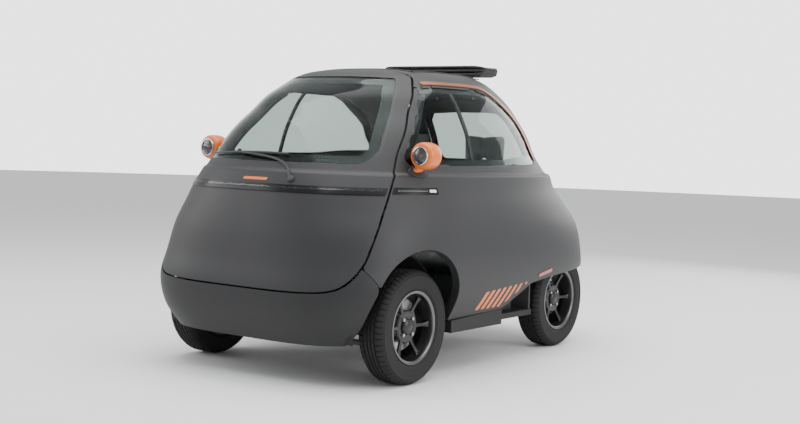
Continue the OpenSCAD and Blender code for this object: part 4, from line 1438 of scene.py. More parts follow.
@dataclass
class BodyTrim:
    """Light bars, strips, stripes, reflectors, the blank badge and the painted shade of the belt groove on the skin."""

    bar_height: float = 0.890
    bar_half: float = 0.017
    strip_path: tuple = (
        (-405, 1407), (-330, 1411), (20, 1413), (137, 1387), (225, 1342), (312, 1300), (390, 1247),
        (450, 1165), (536, 1058),
    )
    belt_path: tuple = (
        (-857, 962), (-740, 975), (-615, 982), (-298, 992), (56, 1003), (300, 1012), (470, 1020), (560, 1026),
    )
    stripe_count: int = 9

    def _add(self, name: str, region: Region, angles: tuple, heights: tuple, outer: float, depth: float,
             edge: float, step: float, body: str, slot: str, finish: str, *nodes: str,
             both: bool = False) -> None:
        """Builds a thin piece on the skin, or one on each side of the car.

        Args:
            name: the piece's name.
            region: the distance inside the piece.
            angles: the stretch of the body around it.
            heights: the stretch of the body above and below it.
            outer: the depth of its outside below the skin.
            depth: its thickness.
            edge: the radius of its edges.
            step: the length of a face.
            body: the body that it rides on.
            slot: the record's material slot.
            finish: the name of its finish.
            nodes: the plain nodes that it stands for.
            both: whether there is one on each side of the car.
        """
        sheet = Patch(region, angles, heights, outer, depth, edge, step).build()
        if not both:
            declare(sheet_object(name, sheet, PALETTE[finish]), body, slot, *nodes)
            return
        for label, sign in SIDES:
            part = sheet if sign > 0 else sheet.mirrored()
            declare(sheet_object(f"{name}_{label}", part, PALETTE[finish]), body, slot,
                    *(nodes if sign > 0 else ()))

    def _bars(self) -> None:
        """Builds the light bars of the nose and the tail."""
        def band(p: Array, half: float, middle: float) -> Array:
            """Inside a level band around a height."""
            return half - np.abs(p[:, 2] - middle)

        z = self.bar_height
        span = (z - 0.03, z + 0.03)
        nose = lambda p: np.minimum(band(p, self.bar_half, z), SEAMS.ahead(p) - 0.012)
        self._add("front_bar_cover", nose, (180, 360), span, -0.004, 0.0037, 0.0015, 0.008, "door",
                  "gloss_black", "gloss_black", "front_light_bar")
        lens = lambda p: np.minimum(band(p, 0.0035, z + 0.004), SEAMS.ahead(p) - 0.03)
        self._add("front_bar_light", lens, (180, 360), span, -0.0045, 0.0008, 0.0003, 0.006, "door",
                  "lamp_glass", "lamp_glass")
        tail = lambda p: np.minimum(band(p, self.bar_half, z), SEAMS.hatch_zone(p) - 0.012)
        self._add("rear_bar_cover", tail, (0, 180), span, -0.004, 0.0037, 0.0015, 0.008, "tailgate",
                  "tail_lamp", "tail_lens", "rear_light_bar")
        strip = lambda p: np.minimum.reduce([
            band(p, 0.016, 0.895), -SEAMS.ahead(p) - 0.009, -0.615 - p[:, 1]])
        self._add("side_light_strip", strip, (-85, 85), (0.86, 0.93), -0.0012, 0.0012, 0.0006, 0.006, "root",
                  "gloss_black", "gloss_black", both=True)
        white = lambda p: np.minimum.reduce([band(p, 0.006, 0.896), p[:, 1] + 0.672, -0.628 - p[:, 1]])
        self._add("side_light_lens", white, (-85, 85), (0.86, 0.93), -0.0016, 0.0008, 0.0004, 0.004, "root",
                  "lamp_glass", "lamp_white", both=True)

    def _dots(self) -> None:
        """Sets the small lights of the side strips and of the tail bar."""
        places = []
        for _, sign in SIDES:
            for k in range(14):
                along = -0.845 + k * 0.012
                point, out = SHAPE.find(0.896, along=along, sign=sign)
                places.append((point + out * 0.0012, out))
        Fixing(0.0018, 0.0012, 0.0012, 8, "root", "lamp_glass", "lamp_white").scatter("side_strip_lights", places)
        places = []
        for k in range(41):
            point, out = SHAPE.find(0.890, across=-0.36 + k * 0.018, sign=1)
            places.append((point + out * 0.004, out))
        Fixing(0.0030, 0.0012, 0.0020, 8, "tailgate", "tail_lamp", "reflector_red").scatter("tail_bar_lights", places)

    def _stripes(self) -> None:
        """Builds the slanted stripes behind the front wheel."""
        first, last = -0.215, 0.245
        pitch = (last - first) / self.stripe_count
        lean = 0.35

        def stripes(p: Array) -> Array:
            """Inside one of the slanted bars, between the two rising edges.

            Args:
                p: the points, a row each.

            Returns:
                The distance of each point, positive inside.
            """
            along = p[:, 1] - lean * (p[:, 2] - 0.34)
            phase = (along - first) / pitch
            width = 0.30 - 0.015 * np.floor(phase)
            bar = (width - np.abs(phase - np.floor(phase) - 0.5)) * pitch / 2
            low = 0.300 + np.clip(p[:, 1] - 0.02, 0, 1) * 0.62
            return np.minimum.reduce([
                bar, along - first, last - along, p[:, 2] - low, 0.392 + (p[:, 1] + 0.2) * 0.07 - p[:, 2]])

        self._add("side_stripe", stripes, (-30, 60), (0.28, 0.46), -0.0003, 0.0003, 0.0001, 0.005, "root",
                  "orange_trim", "orange_paint", both=True)

    def build(self) -> None:
        """Builds all the trim on the skin, and a dark strip of painted shade along the belt groove."""
        self._bars()
        self._dots()
        self._stripes()
        path = curve_through(mm(self.strip_path), 6)
        strip = lambda p: 0.0080 + 0.0065 * smooth_step(p[:, 1], 0.05, 0.35) - distance_to_line(side(p), path)
        self._add("drip_strip", strip, (-85, 85), (1.0, 1.46), -0.0045, 0.0042, 0.002, 0.006, "root",
                  "orange_trim", "copper_trim", "drip_strips", both=True)
        # Painted shade: a thin dark sheet laid on the skin along the belt, where the shade in the belt groove falls.
        belt = curve_through(mm(self.belt_path), 6)
        groove_shade = lambda p: np.minimum(0.0035 - distance_to_line(side(p), belt), -SEAMS.ahead(p) - 0.008)
        self._add("belt_line", groove_shade, (-85, 85), (0.93, 1.05), -0.0006, 0.0008, 0.0003, 0.005, "root",
                  "black_plastic", "rubber_seal", both=True)
        mark = lambda p: np.minimum.reduce([
            0.0065 - np.abs(p[:, 2] - 0.9275), 0.073 - np.abs(p[:, 0] - 0.005 - 0.4 * (p[:, 2] - 0.9275))])
        self._add("badge_blank", mark, (255, 285), (0.90, 0.95), -0.0022, 0.0020, 0.001, 0.005, "door",
                  "orange_trim", "orange_paint")
        reflector = lambda p: 0.010 - distance_to_line(side(p), mm([(318, 447), (446, 466)]))
        self._add("side_reflector", reflector, (-10, 70), (0.41, 0.50), -0.0030, 0.0028, 0.0012, 0.005, "root",
                  "tail_lamp", "reflector_red", both=True)


# ---------------------------------------------------------------- wheels and running gear


@dataclass
class Wheel:
    """One wheel: its tyre with a cut tread, its rim with six spokes, its bolts and its brake."""

    name: str
    body: str
    side: int
    front: bool
    radius: float = 0.2665
    half: float = 0.0725
    rim: float = 0.165
    offset: float = 0.008
    disc: float = 0.014
    pitch_radius: float = 0.050
    segments: int = 360
    spokes: int = 6

    def __post_init__(self) -> None:
        """Reads the wheel's place from its node."""
        low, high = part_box(f"tyre_{self.name}")
        self.middle = (low + high) / 2
        turn = Matrix.Rotation(math.radians(90 * self.side), 4, "Y")
        self.place = Matrix.Translation(self.middle) @ turn

    def _tyre_profile(self) -> list:
        """Returns half of the tyre's section from the bead to the middle of the tread.

        Returns:
            Half of the tyre's section from the bead to the middle of the tread.
        """
        bead, tread, half = self.rim, self.radius, self.half
        wall = [
            (bead - 0.001, half - 0.018), (bead + 0.004, half - 0.0150), (bead + 0.010, half - 0.0135),
            (bead + 0.014, half - 0.007), (bead + 0.022, half - 0.0040), (bead + 0.0235, half - 0.0030),
            (bead + 0.025, half - 0.0036), (bead + 0.038, half - 0.0012), (bead + 0.060, half - 0.0002),
            (bead + 0.074, half - 0.0012), (bead + 0.0755, half - 0.0002), (bead + 0.077, half - 0.0018),
            (bead + 0.086, half - 0.0055), (tread - 0.0105, half - 0.0105), (tread - 0.005, half - 0.0165),
            (tread - 0.0018, half - 0.0235),
        ]
        ribs = [(tread, 0.046), (tread, 0.0335), (tread - 0.006, 0.0322), (tread - 0.006, 0.0278),
                (tread, 0.0265), (tread, 0.0125), (tread - 0.006, 0.0112), (tread - 0.006, 0.0068), (tread, 0.0055)]
        return wall + ribs

    def _tyre(self) -> None:
        """Builds the tyre with its round grooves and its cuts across the shoulders."""
        half = self._tyre_profile()
        profile = half + [(r, -h) for r, h in reversed(half)]
        shoulder = 0.0335
        bm = bmesh.new()
        rings = []
        for k in range(self.segments):
            ring = []
            for r, h in profile:
                phase = (k + (2 if h < 0 else 0)) % 6
                deep = 0.0055 if phase == 0 and abs(h) >= shoulder and r > self.radius - 0.011 else 0.0
                fine = 0.0025 if phase == 3 and 0.011 < abs(h) < 0.028 and r > self.radius - 0.001 else 0.0
                turn = 2 * math.pi * (k + 10 * h) / self.segments
                radius = r - deep - fine
                ring.append(self.place @ Vector((radius * math.cos(turn), radius * math.sin(turn), h)))
            rings.append(ring)
        add_grid(bm, rings, closed=True, wrap=True)
        declare(finish_mesh(f"tyre_{self.name}_cut", bm, PALETTE["tyre_rubber"], sharp=50), self.body,
                "tyre_rubber", f"tyre_{self.name}")

    def _rim(self) -> None:
        """Builds the barrel, the spokes, the hub and the bright edge."""
        barrel, inner, half = self.rim - 0.0003, self.rim - 0.012, self.half - 0.014
        lip, bright = self.rim + 0.0075, half + 0.0045
        front = self.offset + self.disc
        bm = bmesh.new()
        section = [
            (inner, -half - 0.004), (lip - 0.002, -half - 0.0045), (lip, -half - 0.003), (lip - 0.001, -half),
            (barrel, -half + 0.001), (barrel, -0.020), (barrel - 0.006, -0.014), (barrel - 0.006, 0.010),
            (barrel, 0.016), (barrel, half - 0.001), (lip - 0.001, half), (lip, half + 0.002),
            (lip - 0.0015, bright), (inner + 0.009, bright), (inner + 0.004, half + 0.001),
            (inner + 0.001, half - 0.006), (inner - 0.003, front + 0.010), (inner - 0.005, front - 0.002),
            (inner - 0.008, self.offset), (inner, self.offset - 0.006), (inner, -0.030), (inner - 0.002, -half + 0.006),
        ]
        bright_sides = (12, 13)
        add_lathe(bm, section, self.place, 120, slot_of=lambda j: 1 if j in bright_sides else 0)
        hub = [(0.0302, self.offset), (0.070, self.offset), (0.078, self.offset + 0.005), (0.078, front - 0.004),
               (0.073, front + 0.001), (0.060, front + 0.002), (0.046, front), (0.0302, front)]
        add_lathe(bm, hub, self.place, 96)
        cap = [(1e-4, front - 0.001), (0.0395, front - 0.001), (0.041, front + 0.003), (0.039, front + 0.009),
               (0.033, front + 0.014), (0.022, front + 0.0175), (1e-4, front + 0.019)]
        add_lathe(bm, cap, self.place, 64)
        ring = [(0.0405, front + 0.0015), (0.0430, front + 0.0015), (0.0430, front + 0.0045), (0.0405, front + 0.0045)]
        add_lathe(bm, ring, self.place, 64, slot_of=lambda j: 1)
        for k in range(self.spokes):
            turn = 2 * math.pi * (k + 0.5) / self.spokes
            path, sizes = [], []
            for r, wide, high in ((0.066, 0.0135, 0.0070), (0.084, 0.0105, 0.0075), (0.105, 0.0090, 0.0075),
                                  (0.126, 0.0095, 0.0080), (0.142, 0.0125, 0.0090), (0.1515, 0.0175, 0.0095)):
                lift = self.offset + 0.0075 + 0.016 * ((r - 0.066) / 0.0855) ** 2
                path.append(self.place @ Vector((r * math.cos(turn), r * math.sin(turn), lift)))
                sizes.append((wide, high))
            add_sweep(bm, path, sizes, up=self.place.to_3x3() @ Vector((0, 0, 1)), sides=16, power=0.55)
        obj = finish_mesh(f"rim_{self.name}_cast", bm, PALETTE["rim_black"], PALETTE["rim_lip"])
        declare(obj, self.body, "rim_black", f"rim_{self.name}")
        outward = self.place.to_3x3() @ Vector((0, 0, 1))
        bolts = []
        for k in range(4):
            turn = math.radians(45 + 90 * k)
            spot = Vector((self.pitch_radius * math.cos(turn), self.pitch_radius * math.sin(turn), front - 0.001))
            bolts.append((self.place @ spot, outward))
        Fixing(0.0105, 0.011, 0.0085, 6, self.body, "dark_steel", "bright_steel").scatter(
            f"bolts_{self.name}", bolts)
        valve = bmesh.new()
        turn = math.pi / 6
        foot = Vector((0.150 * math.cos(turn), 0.150 * math.sin(turn), front + 0.006))
        tip = foot + Vector((-0.012 * math.cos(turn), -0.012 * math.sin(turn), 0.020))
        add_rod(valve, self.place @ foot, self.place @ tip, 0.0038, 0.0030, 12)
        declare(finish_mesh(f"valve_{self.name}", valve, PALETTE["rubber_seal"]), self.body, "black_plastic")

    def _brake(self) -> None:
        """Builds a disc and its caliper in front, or a ribbed drum at the rear."""
        bm = bmesh.new()
        if self.front:
            disc = [(0.0305, -0.020), (0.0305, 0.0065), (0.060, 0.0065), (0.063, -0.002), (0.063, -0.008),
                    (0.112, -0.008), (0.112, -0.011), (0.108, -0.0115), (0.108, -0.0145), (0.112, -0.015),
                    (0.112, -0.018), (0.060, -0.018), (0.056, -0.020)]
            add_lathe(bm, disc, self.place, 96)
        else:
            drum = [(0.0305, 0.0065), (0.082, 0.0065), (0.094, 0.001), (0.0965, -0.006), (0.100, -0.007),
                    (0.100, -0.011), (0.0965, -0.012), (0.0965, -0.016), (0.100, -0.017), (0.100, -0.021),
                    (0.0965, -0.022), (0.0965, -0.040), (0.0305, -0.040)]
            add_lathe(bm, drum, self.place, 96)
        steel = PALETTE["bright_steel" if self.front else "dark_steel"]
        declare(finish_mesh(f"brake_{self.name}", bm, steel), self.body, "dark_steel")
        if self.front:
            caliper = bmesh.new()
            rings = []
            for k in range(13):
                turn = math.radians(-32 + 64 * k / 12) + (0 if self.side > 0 else math.pi)
                swell = 1 - 0.25 * abs(k - 6) / 6
                ring = []
                for r, h in ((0.072, -0.034), (0.124, -0.034), (0.134, -0.026), (0.134, -0.004),
                             (0.126, 0.002), (0.078, 0.002), (0.078, -0.005), (0.1155, -0.005),
                             (0.1155, -0.021), (0.072, -0.021)):
                    grown = 0.103 + (r - 0.103) * swell
                    grown = r if 0.112 <= r <= 0.1156 else grown
                    spot = Vector((-grown * math.sin(turn + math.pi / 2), grown * math.cos(turn + math.pi / 2), h))
                    ring.append(self.place @ spot)
                rings.append(ring)
            add_grid(caliper, rings)
            knuckle = "knuckle_l" if self.side > 0 else "knuckle_r"
            declare(finish_mesh(f"caliper_{self.name}", caliper, PALETTE["motor_casting"]), knuckle, "dark_steel")

    def build(self) -> None:
        """Builds the whole wheel."""
        self._tyre()
        self._rim()
        self._brake()


# ---------------------------------------------------------------- the studio


@dataclass
class Studio:
    """A plain pale floor, soft lights and the camera."""

    place: tuple = (3.946, -5.486, 1.111)
    yaw: float = 35.567
    pitch: float = -3.108
    roll: float = 2.058
    lens: float = 56.66
    fill: float = 0.95
    backdrop: float = 3.0

    def _camera(self) -> None:
        """Sets the camera."""
        a, e, ro = (math.radians(v) for v in (self.yaw, self.pitch, self.roll))
        ahead = Vector((-math.sin(a) * math.cos(e), math.cos(a) * math.cos(e), math.sin(e)))
        right = Vector((math.cos(a), math.sin(a), 0))
        up = right.cross(ahead)
        level_right = right * math.cos(ro) + up * math.sin(ro)
        level_up = -right * math.sin(ro) + up * math.cos(ro)
        data = bpy.data.cameras.new("camera")
        data.lens, data.sensor_width = self.lens, 36
        camera = bpy.data.objects.new("camera", data)
        turn = Matrix((level_right, level_up, -ahead)).transposed().to_4x4()
        camera.matrix_world = Matrix.Translation(self.place) @ turn
        bpy.context.scene.collection.objects.link(camera)
        bpy.context.scene.camera = camera

    @staticmethod
    def _light(name: str, spot: Sequence, target: Sequence, size: tuple, power: float) -> None:
        """Adds a soft rectangular light.

        Args:
            name: its name.
            spot: where it stands.
            target: what it points at.
            size: its width and height.
            power: its power in watts.
        """
        data = bpy.data.lights.new(name, "AREA")
        data.shape = "RECTANGLE"
        data.size, data.size_y = size
        data.energy = power
        light = bpy.data.objects.new(name, data)
        light.location = spot
        light.rotation_euler = (Vector(target) - Vector(spot)).to_track_quat("-Z", "Y").to_euler()
        bpy.context.scene.collection.objects.link(light)

    def build(self) -> None:
        """Builds the floor, the lights, the surroundings and the camera."""
        self._camera()
        bm = bmesh.new()
        bmesh.ops.create_circle(bm, cap_ends=True, segments=96, radius=30)
        floor_finish = Finish("studio_floor", (0.80, 0.80, 0.80), (0.83, 0.83, 0.83), (0.6, 0.7), 30, 0.02)
        floor = finish_mesh("studio_floor", bm, floor_finish.build(), recalc=False)
        floor.data.transform(Matrix.Translation((0, 0, -0.001)))
        self._light("overhead", (0.5, -0.5, 5.0), (0, 0, 0.6), (6, 6), 420)
        self._light("left_softbox", (6.0, 0.5, 2.6), (0, 0, 0.8), (4, 3), 200)
        self._light("right_softbox", (-5.0, -3.5, 2.8), (0, 0, 0.8), (4, 3), 130)
        self._light("tail_softbox", (0.5, 6.0, 2.6), (0, 0, 0.8), (4, 3), 120)
        world = bpy.data.worlds.new("studio")
        world.use_nodes = True
        nodes, links = world.node_tree.nodes, world.node_tree.links
        background = nodes["Background"]
        background.inputs["Color"].default_value = (0.97, 0.975, 0.985, 1)
        path, strength = nodes.new("ShaderNodeLightPath"), nodes.new("ShaderNodeMapRange")
        strength.inputs["To Min"].default_value = self.fill
        strength.inputs["To Max"].default_value = self.backdrop
        links.new(path.outputs["Is Camera Ray"], strength.inputs["Value"])
        links.new(strength.outputs["Result"], background.inputs["Strength"])
        bpy.context.scene.world = world
# ---------------------------------------------------------------- soft goods


def box_of(node: str) -> tuple[Vector, Vector]:
    """Returns the lowest and the highest corner of a node at rest."""
    low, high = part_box(node)
    return Vector(low), Vector(high)


def bake(obj: bpy.types.Object) -> None:
    """Applies every modifier of an object to its mesh.

    Args:
        obj: the object.
    """
    graph = bpy.context.evaluated_depsgraph_get()
    mesh = bpy.data.meshes.new_from_object(obj.evaluated_get(graph))
    obj.modifiers.clear()
    obj.data = mesh


@dataclass
class Cushion:
    """A stuffed pad that a cloth simulation swells, with sewn channels."""

    name: str
    low: tuple
    high: tuple
    round: float
    face: int
    fill: float = 0.75
    channels: tuple = ()
    voxel: float = 0.0075
    cap: float = 0.026
    pressure: float = 4.0
    frames: int = 20
    start: float = 0.012

    def _core(self) -> bpy.types.Object:
        """Returns the closed shape that swells, a little smaller than the pad.

        Returns:
            The closed shape that swells, a little smaller than the pad.
        """
        bm = bmesh.new()
        inset = Vector((self.start,) * 3)
        add_box(bm, Vector(self.low) + inset, Vector(self.high) - inset, self.round, segments=5)
        core = finish_mesh(self.name, bm, PALETTE["seat_fabric"])
        remesh = core.modifiers.new("remesh", "REMESH")
        remesh.mode = "VOXEL"
        remesh.voxel_size = self.voxel
        bake(core)
        return core

    def _simulate(self, obj: bpy.types.Object) -> None:
        """Swells the pad and limits how far any point moves.

        Args:
            obj: the object.
        """
        rest = self._points(obj)
        cloth = obj.modifiers.new("cloth", "CLOTH")
        cloth.settings.use_pressure = True
        cloth.settings.uniform_pressure_force = self.pressure
        cloth.settings.effector_weights.gravity = 0
        cloth.point_cache.frame_start, cloth.point_cache.frame_end = 1, self.frames
        scene = bpy.context.scene
        for number in range(1, self.frames + 1):
            scene.frame_set(number)
        graph = bpy.context.evaluated_depsgraph_get()
        swollen = self._points(obj.evaluated_get(graph))
        obj.modifiers.remove(cloth)
        scene.frame_set(1)
        way = swollen - rest
        length = np.linalg.norm(way, axis=1, keepdims=True)
        self._write(obj, rest + way * np.minimum(1, self.cap / np.maximum(length, 1e-9)))

    @staticmethod
    def _points(obj: bpy.types.Object) -> Array:
        """Reads the points of an object's mesh."""
        flat = np.empty(len(obj.data.vertices) * 3)
        obj.data.vertices.foreach_get("co", flat)
        return flat.reshape(-1, 3)

    @staticmethod
    def _write(obj: bpy.types.Object, points: Array) -> None:
        """Writes the points of an object's mesh."""
        obj.data.vertices.foreach_set("co", points.ravel())
        obj.data.update()

    def _fit(self, points: Array) -> Array:
        """Scales the pad into its room.

        Args:
            points: the points, a row each.

        Returns:
            The new points.
        """
        low, high = np.array(self.low), np.array(self.high)
        now_low, now_high = points.min(0), points.max(0)
        scale = (high - low) / (now_high - now_low)
        return low + (points - now_low) * scale

    def _sew(self, obj: bpy.types.Object, points: Array) -> Array:
        """Draws the sewn channels into the sitting face.

        Args:
            obj: the object.
            points: the points, a row each.

        Returns:
            The new points.
        """
        flat = np.empty(len(points) * 3)
        obj.data.vertices.foreach_get("normal", flat)
        normals = flat.reshape(-1, 3)
        toward = np.clip(normals[:, self.face] * (1 if self.face == 2 else -1), 0, 1)
        deep = np.zeros(len(points))
        for axis, place in self.channels:
            deep = np.maximum(deep, np.exp(-((points[:, axis] - place) / 0.0055) ** 2))
        return points - normals * (0.006 * deep * smooth_step(toward, 0.3, 0.8))[:, None]

    def build(self, *nodes: str) -> bpy.types.Object:
        """Builds the pad in place of its nodes.

        Args:
            nodes: the plain nodes that it stands for.

        Returns:
            The object.
        """
        obj = self._core()
        self._simulate(obj)
        self._write(obj, self._fit(self._points(obj)))
        finer = obj.modifiers.new("finer", "SUBSURF")
        finer.levels = finer.render_levels = 1
        bake(obj)
        self._write(obj, self._sew(obj, self._points(obj)))
        obj.data.shade_smooth()
        declare(obj, "root", "seat_fabric", *nodes)
        return obj


@dataclass
class Seats:
    """The bench with two places: cushions, backs, headrests and piping."""

    gap: float = 0.004

    def build(self) -> None:
        """Builds the pads side by side."""
        seat_low, seat_high = box_of("seat_cushion")
        back_low, back_high = box_of("seat_back")
        shoulder = back_high.z - 0.170
        for name, sign in SIDES:
            near, far = self.gap / 2, seat_high.x
            span = sorted((sign * near, sign * far))
            middle = sum(span) / 2
            nodes = ("seat_cushion",) if sign > 0 else ()
            across = ((0, middle - 0.085), (0, middle + 0.085))
            Cushion(f"seat_pad_{name}", (span[0], seat_low.y + 0.002, seat_low.z + 0.001),
                    (span[1], seat_high.y - 0.002, seat_high.z), 0.045, 2,
                    channels=across + ((1, seat_low.y + 0.11),)).build(*nodes)
            nodes = ("seat_back",) if sign > 0 else ()
            Cushion(f"back_pad_{name}", (span[0], back_low.y + 0.001, seat_high.z + 0.004),
                    (span[1], back_high.y - 0.001, shoulder), 0.030, 1,
                    channels=across + ((2, 0.72), (2, 0.86))).build(*nodes)
            Cushion(f"headrest_{name}", (sign * 0.250 - 0.125, back_low.y + 0.002, shoulder + 0.022),
                    (sign * 0.250 + 0.125, back_high.y - 0.002, back_high.z), 0.032, 1, fill=0.85,
                    channels=((0, sign * 0.250),)).build()
            posts = bmesh.new()
            for x in (-0.055, 0.055):
                foot = Vector((sign * 0.250 + x, (back_low.y + back_high.y) / 2, shoulder - 0.03))
                add_rod(posts, foot, foot + Vector((0, 0, 0.075)), 0.0055)
            declare(finish_mesh(f"headrest_posts_{name}", posts, PALETTE["chrome"]), "root", "dark_steel")
            piping = bmesh.new()
            edge = [(span[0] + 0.02, seat_low.y + 0.030, seat_high.z - 0.0055),
                    (middle, seat_low.y + 0.018, seat_high.z - 0.004),
                    (span[1] - 0.02, seat_low.y + 0.030, seat_high.z - 0.0055)]
            path = curve_through(edge, 12)
            add_sweep(piping, path, [(0.0032, 0.0032)] * len(path), sides=8)
            declare(finish_mesh(f"seat_piping_{name}", piping, PALETTE["seat_piping"]), "root", "orange_trim")


@dataclass
class FoldedRoof:
    """The fabric roof, folded back in layers behind its opening, with its hoops, rails and seal."""

    half_width: float = 0.334
    folds: int = 5
    front_y: float = 0.276
    rear_y: float = 0.466
    top: float = 1.5480
    thick: float = 0.052
    fabric: float = 0.0022
    rows: int = 49

    def __post_init__(self) -> None:
        """Gets the skin that the roof lies on."""
        graph = bpy.context.evaluated_depsgraph_get()
        shells = ("roof_panel_shell", "side_panel_left_shell", "side_panel_right_shell")
        self.skin = [BVHTree.FromObject(bpy.data.objects[name], graph) for name in shells]

    def floor(self, x: float, y: float) -> float:
        """Returns the height of the skin under a place.

        Args:
            x: the place across the car.
            y: the place along the car.

        Returns:
            The height of the skin under a place.
        """
        heights = [1.470]
        for tree in self.skin:
            hit = tree.ray_cast(Vector((x, y, 1.7)), Vector((0, 0, -1)))[0]
            if hit is not None:
                heights.append(hit.z)
        return max(heights)

    def _section(self, x: float) -> Array:
        """Returns the folded line of the fabric at one place across the car, along and up.

        Args:
            x: the place across the car.

        Returns:
            The folded line of the fabric at one place across the car, along and up.
        """
        tip = min(1.0, (self.half_width - abs(x)) / 0.07)
        full = math.sqrt(max(0.0, 1 - (1 - tip) ** 2))
        high = self.top - 0.004
        low = max(self.floor(x, 0.373) + 0.0035, high - self.thick)
        middle, half = (high + low) / 2 + 0.006 * (1 - full), (high - low) / 2 * (0.28 + 0.72 * full)
        high, low = middle + half, middle - half
        pitch = (high - low) / self.folds
        squeeze = 0.034 * (1 - full)
        front_y, rear_y = self.front_y + squeeze, self.rear_y - squeeze
        line = []
        for layer in range(self.folds + 1):
            z = low + pitch * layer
            turn_back = layer % 2 == 1
            ends = (front_y + pitch / 2, rear_y - pitch / 2)
            ends = ends if turn_back else ends[::-1]
            for k in range(9):
                t = k / 8
                y = ends[0] + (ends[1] - ends[0]) * t
                wave = 0.0016 * math.sin(math.pi * t) * math.sin(3.1 * layer + 9 * x)
                line.append((y, z + wave - 0.0012 * math.sin(math.pi * t)))
            if layer < self.folds:
                way = 1 if turn_back else -1
                for k in range(1, 6):
                    turn = math.pi * k / 6
                    line.append((ends[1] + way * math.sin(turn) * pitch / 2, z + pitch * (1 - math.cos(turn)) / 2))
        return np.array(line)

    def build(self) -> None:
        """Builds the fabric in place of its plain block, and what carries it."""
        bm = bmesh.new()
        rows = []
        for x in np.linspace(-self.half_width, self.half_width, self.rows):
            rows.append([bm.verts.new((x, y, z)) for y, z in self._section(float(x))])
        for a, b in zip(rows, rows[1:]):
            for k in range(len(a) - 1):
                bm.faces.new((a[k], b[k], b[k + 1], a[k + 1]))
        middle = rows[len(rows) // 2]
        length = sum((a.co - b.co).length for a, b in zip(middle, middle[1:]))
        cloth = finish_mesh("folded_roof_fabric", bm, PALETTE["roof_fabric"], sharp=80)
        wall = cloth.modifiers.new("wall", "SOLIDIFY")
        wall.thickness, wall.offset = self.fabric, 0
        bake(cloth)
        cloth.data.shade_smooth()
        declare(cloth, "root", "roof_fabric", "fabric_roof")
        hoops = bmesh.new()
        for y in (0.318, 0.430):
            path = [(x, y, self.floor(x, y) + 0.0205) for x in np.linspace(-0.300, 0.300, 25)]
            add_sweep(hoops, path, [(0.006, 0.0022)] * len(path), sides=10, power=0.6)
        stems = finish_mesh("roof_hoops", hoops, PALETTE["dark_steel"])
        declare(stems, "root", "dark_steel")
        self._rails()

    def _rails(self) -> None:
        """Builds the side rails and the seal of the roof opening."""
        rails = bmesh.new()
        for sign in (-1, 1):
            x = sign * 0.306
            path = [(x, y, self.floor(x, y) + 0.001) for y in np.linspace(-0.335, 0.285, 40)]
            add_sweep(rails, path, [(0.007, 0.003)] * len(path), sides=10, power=0.7)
        path = [(x, -0.338, self.floor(x, -0.338) + 0.001) for x in np.linspace(-0.300, 0.300, 25)]
        add_sweep(rails, path, [(0.009, 0.0035)] * len(path), sides=10, power=0.7)
        declare(finish_mesh("roof_rails", rails, PALETTE["black_plastic"]), "root", "black_plastic")


# ---------------------------------------------------------------- lamps, wiper and cabin


